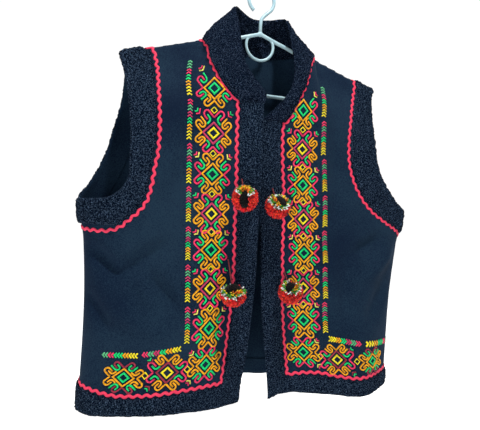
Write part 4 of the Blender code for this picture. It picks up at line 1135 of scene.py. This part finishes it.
def beside_neck(side, away):
    """A line beside the neck seam of a front, up to the shoulder seam."""
    line = short_of_seam(side, FRONT, beside(neck_line(side), -away), CORNER_CLEAR)
    return line + [seam_point(side, FRONT, NECK_TOP[side] - away * NECK_RUN)]


for side in (RIGHT, LEFT):
    name, base = SIDE_NAME[side], NECK_BASE[side]
    beside_edge, above_hem = edge_braid(side), hem_braid(side)
    inner = beside_edge[0][0]
    corner_z = crossing(above_hem, inner)
    upper = crossing(beside_edge, base, axis=1)
    top = (upper, base - 0.003)
    edge = [p for p in beside_edge if corner_z + CORNER_CLEAR < p[1] < top[1] - CORNER_CLEAR]
    edge = [(inner, corner_z)] + edge + [top]
    neck = [p for p in beside_neck(side, BRAID_OFF - 0.0010) if p[0] > upper + CORNER_CLEAR and p[1] > base]
    neck = [top] + neck
    hem = [(inner - BRAID_WIDE / 2, corner_z)] + [p for p in above_hem if p[0] > inner + 0.001]
    back_armhole = beside_armhole(side, BACK, ARM_TRIM[side] + BRAID_OFF)
    rickrack(f"rickrack_edge_{name}", f"braid_edge_{name}", [(side, FRONT, edge)])
    rickrack(f"rickrack_neck_{name}", f"braid_neck_{name}", [(side, FRONT, rounded_path(neck, 0.003))])
    rickrack(f"rickrack_hem_{name}", f"braid_hem_{name}", [(side, FRONT, hem)])
    rickrack(f"rickrack_armhole_{name}", f"braid_armhole_{name}", [(side, FRONT, arm_braid(side))])
    rickrack(f"back_rickrack_armhole_{name}", f"back_braid_armhole_{name}", [(side, BACK, back_armhole)])
hem_runs, neck_runs = [], []
for side in (RIGHT, LEFT):
    low = HEM_Z + HEM_TRIM + BRAID_OFF
    hem_runs.append((side, BACK, [(0.0, low), seam_point(side, BACK, low)]))
    neck = [p for p in beside(back_neck_line(side), BRAID_OFF) if p[0] > 0.001]
    neck = short_of_seam(side, BACK, neck, CORNER_CLEAR)
    end = seam_point(side, BACK, NECK_TOP[side] - BRAID_OFF * NECK_RUN)
    neck_runs.append((side, BACK, [(0.0, neck[-1][1])] + neck[::-1] + [end]))
rickrack("back_rickrack_hem", "back_braid_hem", hem_runs)
rickrack("back_rickrack_neck", "back_braid_neck", neck_runs)


# ---- the hooked diamonds --------------------------------------------------------------
# Satin stitch in thick rayon thread: nested diamonds with interlocking hooks on
# their four sides, worked in a column down each front and along the hem.

STITCH_WIDE, STITCH_HIGH = 0.0030, 0.0014
STITCH_ROUND = [(-1.0, -0.3), (-0.72, 0.7), (0.0, 1.0), (0.72, 0.7), (1.0, -0.3)]
UNIT = 0.0041            # the spacing of the hooks' arms
THREADS = {
    "orange_thread": (0.84, 0.35, 0.004),
    "yellow_thread": (0.86, 0.68, 0.012),
    "green_thread": (0.0005, 0.62, 0.160),
    "pink_thread": (0.79, 0.020, 0.120),
    "dull_green_thread": (0.095, 0.42, 0.190),
    "pale_yellow_thread": (0.78, 0.72, 0.13),
    "wine_thread": (0.30, 0.010, 0.050),
    "rose_thread": (0.54, 0.024, 0.120),
}
# how much brighter and yellower a thread's painted highlight is than its own colour
PAINTED_HIGHLIGHT_GAIN = (0.004, 0.020, 0.002)      # what the lightest thread gains
CROWN = 0.4              # where the top of a strip lies across it, as a share


def satin_thread(name, colour):
    """Glossy thread laid side by side, with painted highlights that come and go along a stroke and painted
    shade along its edges.
    """
    made, tree, shader = material_named(name, colour, 0.40, 0.16)
    along = output_of(tree, "UVMap", "UV", {})
    turned = output_of(tree, "Mapping", "Vector", {"Vector": along, "Scale": (1.0, 0.0006, 1.0),
                                                   "Rotation": (0, 0, 0.15)})
    lay = output_of(tree, "TexWave", "Fac", {"Vector": turned, "Scale": 700, "Distortion": 1.2,
                                             "Detail": 1.5}, bands_direction="X")
    place = output_of(tree, "TexCoord", "Object", {})
    # painted highlights: patches of shine that come and go along the strokes
    painted_shine = output_of(tree, "TexNoise", "Fac", {"Vector": place, "Scale": 240, "Detail": 2})
    blend = output_of(tree, "Mix", "Result", {"Factor": 0.58, "A": lay, "B": painted_shine}, data_type="FLOAT")
    # painted shade: each strip darkens away from its crown towards both edges
    over = output_of(tree, "SeparateXYZ", "Y", {"Vector": along})
    off = output_of(tree, "Math", "Value", {0: over, 1: CROWN}, operation="SUBTRACT")
    size = output_of(tree, "Math", "Value", {0: off}, operation="ABSOLUTE")
    rim = output_of(tree, "MapRange", "Result", {"Value": size, "From Min": 0.12, "From Max": 0.40,
                                                 "To Max": 0.24})
    shaded = output_of(tree, "Math", "Value", {0: blend, 1: rim}, operation="SUBTRACT")
    # the light end of the ramp is a painted highlight, brighter and yellower than the thread
    dark = [c * 0.25 for c in colour]
    light = [min(1.0, c * 1.2 + more) for c, more in zip(colour, PAINTED_HIGHLIGHT_GAIN)]
    tinted(tree, shader, shaded, 0.20, dark, 0.64, light)
    raised(tree, shader, lay, 0.5, 0.00025)
    return made


threads = {name: satin_thread(name, colour) for name, colour in THREADS.items()}
ORANGE, YELLOW, GREEN, PINK, DULL, PALE_YELLOW, WINE, ROSE = range(8)


def turned_arm(n0, t0, n1, turn_t, t1, radius, way):
    """A hook in the slanted axes: a leg, a half turn and a shorter leg back."""
    middle = (n0 + n1) / 2
    arc = []
    for k in range(1, 6):
        a = math.pi * k / 6
        arc.append((middle + (n0 - middle) * math.cos(a), turn_t + way * radius * math.sin(a)))
    return [(n0, t0), (n0, turn_t)] + arc + [(n1, turn_t), (n1, t1)]


def slanted(points):
    """From the slanted axes n, t to across and up, in units."""
    return [((n + t) / math.sqrt(2), (t - n) / math.sqrt(2)) for n, t in points]


SIDE_OUTER = slanted(turned_arm(3.0, 3.0, 1.0, 5.9, 4.5, 0.9, 1))
SIDE_INNER = slanted(turned_arm(0.0, 6.9, 2.0, 4.7, 5.7, 0.95, -1))
TOP_OUTER = slanted(turned_arm(-3.48, 3.48, -1.25, 6.1, 4.6, 1.05, 1))
TOP_INNER = slanted([(-0.15, 3.75), (-0.55, 3.62), (-1.1, 3.62), (-1.75, 3.75), (-2.15, 4.15),
                     (-2.25, 4.7), (-2.25, 5.8)])


def diamond(half):
    return [(half, 0), (0, half), (-half, 0), (0, -half)]


def motif(outer, inner, side_outer, side_inner, top_outer, top_inner, leaf_out, leaf_in):
    """The strokes of one motif: (thread, points in units, closed, width)."""
    strokes = [(outer, diamond(3.85), True, 1.0), (inner, diamond(1.9), True, 1.08)]
    for hook, thread in ((SIDE_OUTER, side_outer), (SIDE_INNER, side_inner),
                         (TOP_OUTER, top_outer), (TOP_INNER, top_inner)):
        for sx in (1, -1):
            for sy in (1, -1):
                strokes.append((thread, [(x * sx, y * sy) for x, y in hook], False, 1.0))
    for sx in (1, -1):
        for thread, leaf in ((leaf_in, [(-0.1, 0.95), (-0.05, 0.05), (1.0, -0.2)]),
                             (leaf_out, [(-0.95, 0.85), (-0.75, -0.7), (0.5, -0.9)])):
            strokes.append((thread, [((x + 6.15) * sx, y + 6.45) for x, y in leaf], False, 0.75))
    return strokes


SUNNY = motif(ORANGE, GREEN, PINK, GREEN, ORANGE, ORANGE, PALE_YELLOW, PINK)
ROSY = motif(ROSE, YELLOW, ORANGE, ORANGE, PINK, GREEN, PINK, GREEN)
# the ones along the hem, from the corner out; the last has no leaves
WINE_ROSY = motif(WINE, YELLOW, ORANGE, ORANGE, PINK, GREEN, WINE, GREEN)
WINE_SUNNY = motif(ORANGE, GREEN, WINE, GREEN, ORANGE, ORANGE, PALE_YELLOW, PINK)[:-4]
HEM_MOTIFS = [SUNNY, WINE_ROSY, WINE_SUNNY]
LEAF_DROP = 1.6              # the upper leaves there sit lower, in units
HEM_STROKE = 0.94            # and their strokes are narrower
# places as (across, height over the hem)
COLUMN = {
    RIGHT: [(0.0795, 0.4815), (0.0791, 0.413), (0.0782, 0.352), (0.0771, 0.293),
            (0.0753, 0.239), (0.0744, 0.181), (0.0712, 0.121)],
    LEFT: [(0.0717, 0.469), (0.0729, 0.405), (0.0755, 0.346), (0.0789, 0.290),
           (0.0824, 0.234), (0.0805, 0.176), (0.0776, 0.121)],
}
ALONG_HEM = {
    RIGHT: [(0.0719, 0.0676), (0.1292, 0.0618), (0.1917, 0.0518)],
    LEFT: [(0.0725, 0.0673), (0.1292, 0.0558), (0.1960, 0.0515)],
}
# how wide and how high each of those is worked, against the ones of the column
HEM_SIZE = [(0.94, 0.92), (0.98, 0.92), (1.0, 0.81)]
# the top motifs are drawn out a little above their middles
UPPER_HALF = {RIGHT: [1.40, 1.16, 1.04, 1.0, 1.0, 1.0, 1.0], LEFT: [1.16, 1.06, 1.02, 1.0, 1.0, 1.0, 1.0]}
TOP_DIAMOND = 1.12       # the top diamonds are taller than they are wide
SMALL_HALF, SMALL_WIDE = 1.15, 0.55
NECK_REACH = 0.02        # how far under the neck seam's start a stroke can meet it


def kept_runs(side, line):
    """The parts of a stroke that lie on the cloth, clear of the neck rickrack."""
    seam = neck_line(side)
    points, _ = resampled(line, 0.0012)
    gaps = distance_to(points, [seam])
    good = [g > BRAID_OFF * 0.75 and p[0] > crossing(seam, p[1], axis=1) for p, g in zip(points, gaps)]
    if all(good):
        return [line]
    runs, run = [], []
    for point, keep in zip(points, good):
        if keep:
            run.append(tuple(point))
        elif run:
            runs.append(run)
            run = []
    return [r for r in runs + [run] if len(r) > 2]


def onto_front(side, line):
    """Places of (across, height over the hem) in the pattern, moved with the free edge."""
    return [(a + float(edge_sway(side, h)), HEM_Z + h) for a, h in line]


def stitched(name, side, work_bm):
    """Hangs one front's embroidery, with all the threads for its strokes."""
    carry(work_bm, side, FRONT)
    bmesh.ops.recalc_face_normals(work_bm, faces=work_bm.faces)
    finished(f"{name}_{SIDE_NAME[side]}", work_bm, threads.values(), "yarn")


for side in (RIGHT, LEFT):
    work_bm = bmesh.new()
    work_bm.loops.layers.uv.verify()
    strokes = []
    for k, (a, h) in enumerate(COLUMN[side]):
        for thread, line, closed, wide in ROSY if k % 2 else SUNNY:
            if k == 0 and not closed and line[0][1] > 2 and abs(line[0][0]) < 2.8:
                continue         # the neck seam takes the place of the top hooks
            taller = UPPER_HALF[side][k] if not closed else TOP_DIAMOND if k == 0 else 1
            line = [(a + x * UNIT, h + y * UNIT * (taller if y > 0 or closed else 1)) for x, y in line]
            strokes.append((thread, line, closed, wide))
    for (a, h), (across_size, up_size), pattern, k in zip(ALONG_HEM[side], HEM_SIZE, HEM_MOTIFS, (1, 2, 3)):
        for thread, line, closed, wide in pattern:
            drop = LEAF_DROP * k / 2 if wide < 1 and line[1][0] > 4 else 0
            line = [(a + y * UNIT * across_size, h + (x - drop) * UNIT * up_size) for x, y in line]
            strokes.append((thread, line, closed, wide * HEM_STROKE))
    # a small diamond between each motif and the next
    for row in (COLUMN[side], ALONG_HEM[side]):
        for (a0, h0), (a1, h1) in zip(row, row[1:]):
            line = [((a0 + a1) / 2 + x * UNIT, (h0 + h1) / 2 + y * UNIT) for x, y in diamond(SMALL_HALF)]
            strokes.append((YELLOW, line, True, SMALL_WIDE))
    for thread, line, closed, wide in strokes:
        line = onto_front(side, line)
        if max(z for _, z in line) > NECK_BASE[side] - NECK_REACH:
            whole_line = line + [line[0]] if closed else line
            runs = kept_runs(side, whole_line)
            if len(runs) != 1 or len(runs[0]) != len(whole_line):
                for run in runs:
                    strip_along(work_bm, run, STITCH_WIDE * wide, STITCH_HIGH, STITCH_ROUND, thread)
                continue
        if closed:
            thirds = []
            for (ax, az), (bx, bz) in zip(line, line[1:] + line[:1]):
                thirds += [(ax, az), ((ax * 2 + bx) / 3, (az * 2 + bz) / 3),
                           ((ax + bx * 2) / 3, (az + bz * 2) / 3)]
            line = thirds
        strip_along(work_bm, line, STITCH_WIDE * wide, STITCH_HIGH, STITCH_ROUND, thread, closed)
    stitched("hooked_diamonds", side, work_bm)


# ---- the arrow braid -----------------------------------------------------------------------
# Lines of small stitched arrow heads in changing colours, down the outer side of
# each column and above the work along the hem.

ARROW_WIDE = {RIGHT: 0.0071, LEFT: 0.0086}
ARROW_STEEP = {RIGHT: (0.80, 0.95), LEFT: (0.60, 0.92)}      # outer arm, inner arm
COLUMN_FILL, HEM_FILL = 0.48, 0.62       # the share of the pitch that an arrow takes
FULL_ORDER = [PINK] * 2 + [DULL] * 2 + [ROSE] * 2 + [GREEN] * 2 + [ORANGE] * 2 + [YELLOW] * 3
FIRST_ORDER = [DULL] * 3 + [PINK] * 2 + [GREEN] * 2 + [ORANGE] * 2 + [YELLOW] * 3
HEM_ORDER = [DULL] * 2 + [PINK] * 2 + [GREEN] * 3 + [ORANGE] * 2 + [YELLOW] * 3
ARROW_RUNS = {
    # from the point end to the tail end, as (across, height over the hem)
    RIGHT: [((0.125, 0.533), (0.116, 0.466)), ((0.115, 0.461), (0.115, 0.400)),
            ((0.1138, 0.395), (0.1130, 0.336)), ((0.1125, 0.332), (0.1115, 0.280)),
            ((0.1113, 0.273), (0.1105, 0.224)), ((0.1100, 0.217), (0.1090, 0.162)),
            ((0.108, 0.155), (0.105, 0.102)), ((0.227, 0.082), (0.174, 0.084)),
            ((0.168, 0.0855), (0.113, 0.0950))],
    LEFT: [((0.1245, 0.521), (0.1112, 0.463)), ((0.1122, 0.456), (0.1125, 0.399)),
           ((0.1145, 0.392), (0.117, 0.338)), ((0.1175, 0.331), (0.1195, 0.279)),
           ((0.119, 0.272), (0.121, 0.218)), ((0.1195, 0.211), (0.1185, 0.158)),
           ((0.116, 0.152), (0.114, 0.101)), ((0.174, 0.082), (0.119, 0.0905)),
           ((0.263, 0.076), (0.182, 0.082))],
}
for side in (RIGHT, LEFT):
    arrows_bm = bmesh.new()
    arrows_bm.loops.layers.uv.verify()
    for k, (tip, tail) in enumerate(ARROW_RUNS[side]):
        outermost, along_hem = tip[0] > 0.2, tip[1] < 0.1
        order = FIRST_ORDER if k == 0 else HEM_ORDER if outermost else FULL_ORDER
        tip, tail = np.array(tip), np.array(tail)
        length = np.linalg.norm(tail - tip)
        down = (tail - tip) / length
        over = np.array((-down[1], down[0]))
        pitch = length / len(order)
        for i, thread in enumerate(order):
            point = tip + down * pitch * (i + 0.15)
            arm = ARROW_WIDE[side] / 2
            outer, inner = (1, 1) if along_hem else ARROW_STEEP[side]
            inner, outer = (inner * down - over) * arm, (outer * down + over) * arm
            line = [point + inner, point + inner / 2, point, point + outer / 2, point + outer]
            wide = pitch * (HEM_FILL if along_hem else COLUMN_FILL)
            strip_along(arrows_bm, onto_front(side, line), wide, STITCH_HIGH * 0.5, STITCH_ROUND, thread)
    stitched("arrow_braid", side, arrows_bm)


# ---- the pompoms and their ties -----------------------------------------------------------
# Balls of cut acrylic yarn wound in rings of colour round a heart, drawn in at the
# middle and hung from the pile by a short twisted tie.  The heart and the short
# strands of each hollow are painted black as the shade deep in its crater.

POMPOM_REACH, POMPOM_HEART = 0.0203, 0.0146
POMPOMS = [
    # side, across, drop, tie length, tie's place across, middle of the rings, how far
    # from it the red begins, middle of the hollow (painted black as shade), its long
    # way, its long and short half angles, name.  Ways are (to the wearer's left, up,
    # out); angles are in degrees.
    (RIGHT, 0.033, 0.2573, 0.006, 0.033, (-0.18, 0.88, 0.46), 48, (-0.38, -0.22, 0.90), (0, 1, 0), 62, 28,
     "upper_right"),
    (LEFT, 0.0195, 0.268, 0.006, 0.0195, (0.04, 0.72, 0.69), 67, (0.13, 0.72, 0.68), (-0.2, 1, 0), 55, 34,
     "upper_left"),
    (RIGHT, 0.0550, 0.4005, 0.024, 0.0500, (-0.26, 0.93, 0.26), 80, (-0.12, 0.99, 0.05), (1, 0, 0), 68, 60,
     "lower_right"),
    (LEFT, 0.0395, 0.401, 0.006, 0.0395, (-0.25, 0.84, 0.48), 58, (-0.22, 0.93, 0.30), (0.1, 1, 0), 64, 29,
     "lower_left"),
]
# the first yarn, near black, is painted shade for the pompoms' hearts and hollows
YARNS = [("crater_shade_yarn", (0.0015, 0.0015, 0.0020)), ("yellow_yarn", (0.80, 0.50, 0.015)),
         ("orange_yarn", (0.78, 0.16, 0.015)), ("green_yarn", (0.06, 0.30, 0.03)),
         ("white_yarn", (0.74, 0.80, 0.80)), ("red_yarn", (0.62, 0.012, 0.020)),
         ("scarlet_yarn", (0.80, 0.045, 0.020))]
CRATER_SHADE_YARN, YELLOW_YARN, ORANGE_YARN, GREEN_YARN, WHITE_YARN, RED_YARN, SCARLET_YARN = range(7)
# the rings from the pole out: where each ends, in degrees from the red's start, its
# yarn, the yarn mixed into it, and the share that isn't mixed in
RINGS = [(-20, YELLOW_YARN, ORANGE_YARN, 0.6), (-10, GREEN_YARN, YELLOW_YARN, 0.85),
         (0, WHITE_YARN, GREEN_YARN, 0.85), (360, RED_YARN, SCARLET_YARN, 0.6)]
STRANDS, STRAND_WIDE = 1100, 0.00095
STRANDS_AT_ONCE = 100
TIE_STEPS, TIE_TURN = 24, 0.004      # points along a ply, and the length of its half turn
PLY_RADIUS, PLY_OFF = 0.0006, 0.0005
CLOTH_TO_BALL, CLOTH_TO_TIE = 0.0051, 0.0057


def yarn(name, colour):
    """Fluffy cut yarn: shade changes from lock to lock and along each."""
    made, tree, shader = material_named(name, colour, 0.85, 0.08)
    shader.inputs["Sheen Weight"].default_value = 0.08
    place = output_of(tree, "TexCoord", "Object", {})
    locks = output_of(tree, "TexNoise", "Fac", {"Vector": place, "Scale": 230, "Detail": 3})
    tinted(tree, shader, locks, 0.36, [c * 0.20 for c in colour], 0.62, [min(1.0, c * 1.2) for c in colour])
    raised(tree, shader, locks, 0.6, 0.0005)
    return made


yarns = [yarn(name, colour) for name, colour in YARNS]
tie_cord, tree, shader = material_named("tie_cord", (0.10, 0.008, 0.014), 0.7, 0.3)
place = output_of(tree, "TexCoord", "Object", {})
ply = output_of(tree, "TexNoise", "Fac", {"Vector": place, "Scale": 700})
tinted(tree, shader, ply, 0.0, (0.05, 0.004, 0.008), 1.0, (0.24, 0.03, 0.03))


def degrees_between(way, axis):
    return math.degrees(math.acos(max(-1, min(1, way.dot(axis)))))


chance = random.Random(7)
for side, across, drop, tie, tie_across, pole, red_from, hollow, *hollow_form, name in POMPOMS:
    long_way, long_half, short_half = hollow_form
    z = NECK_Z - drop
    spot, out = hang(side, FRONT, across, z)
    out = Vector(out[0])
    centre = Vector(spot[0]) + out * (CLOTH_TO_BALL + POMPOM_REACH)
    over = Vector((0, 0, 1)).cross(out).normalized()
    turned = Matrix((over, out.cross(over), out)).transposed().to_4x4()
    pole, hollow = Vector(pole).normalized(), Vector(hollow).normalized()
    long_axis = Vector(long_way)
    long_axis = (long_axis - hollow * long_axis.dot(hollow)).normalized()
    short_axis = hollow.cross(long_axis)
    ball_bm, lock_bm = bmesh.new(), bmesh.new()
    # the heart, in the first yarn: painted black as the shade deep in the crater
    bmesh.ops.create_uvsphere(ball_bm, u_segments=20, v_segments=12, radius=POMPOM_HEART)
    for k in range(STRANDS):
        height = 1 - 2 * (k + 0.5) / STRANDS
        ring = math.sqrt(1 - height * height)
        a = k * math.pi * (3 - math.sqrt(5)) + chance.uniform(-0.06, 0.06)
        height += chance.uniform(-0.03, 0.03)
        way = Vector((ring * math.cos(a), ring * math.sin(a), height)).normalized()
        past = degrees_between(way, pole) - red_from + chance.uniform(-4, 4)
        off = degrees_between(way, hollow)
        round_it = math.atan2(way.dot(short_axis), way.dot(long_axis))
        rim = 1 / math.sqrt((math.cos(round_it) / long_half) ** 2 + (math.sin(round_it) / short_half) ** 2)
        length = POMPOM_REACH * chance.uniform(0.82, 1.02)
        # strands in the hollow are short and painted black, as shade deep in the crater
        if off < rim + chance.uniform(-3, 3):
            paint, length = CRATER_SHADE_YARN, POMPOM_HEART * chance.uniform(0.92, 1.06)
        else:
            usual, mixed_in, share = next(row[1:] for row in RINGS if past < row[0])
            paint = usual if chance.random() < share else mixed_in
        lean = Vector([chance.uniform(-0.12, 0.12) for _ in range(3)])
        root = way * POMPOM_HEART * 0.85
        run = (way + lean).normalized() * length - root
        upright = run.to_track_quat("Z", "Y").to_matrix().to_4x4()
        made = bmesh.ops.create_cone(lock_bm, cap_ends=True, segments=5, radius1=STRAND_WIDE * 0.75,
                                     radius2=STRAND_WIDE, depth=run.length,
                                     matrix=Matrix.Translation(root + run / 2) @ upright)["verts"]
        for face in {f for v in made for f in v.link_faces}:
            face.material_index = paint
        if (k + 1) % STRANDS_AT_ONCE == 0:
            joined_on(ball_bm, lock_bm)
            lock_bm = bmesh.new()
    lock_bm.free()
    bmesh.ops.transform(ball_bm, verts=ball_bm.verts, matrix=Matrix.Translation(centre) @ turned)
    finished(f"pompom_yarn_{name}", ball_bm, yarns, "yarn", f"pompom_{name}")

    top, away = hang(side, FRONT, tie_across, z + POMPOM_REACH + tie)
    start = Vector(top[0]) + Vector(away[0]) * CLOTH_TO_TIE
    finish = centre + (start - centre).normalized() * (POMPOM_REACH - 0.004)
    run = finish - start
    first_way = run.normalized().orthogonal().normalized()
    second_way = run.normalized().cross(first_way)
    plies = []
    for ply_start in (0, math.pi):
        points = []
        for k in range(TIE_STEPS + 1):
            a = ply_start + k / TIE_STEPS * max(2.0, run.length / TIE_TURN) * math.pi
            swing = (first_way * math.cos(a) + second_way * math.sin(a)) * PLY_OFF
            points.append(start - run * 0.15 + run * (k / TIE_STEPS) * 1.15 + swing)
        plies.append((points, PLY_RADIUS, False))
    cord = wire_mesh(f"twisted_tie_{name}", plies, tie_cord)
    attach(cord, "root")
    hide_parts(f"tie_{name}")
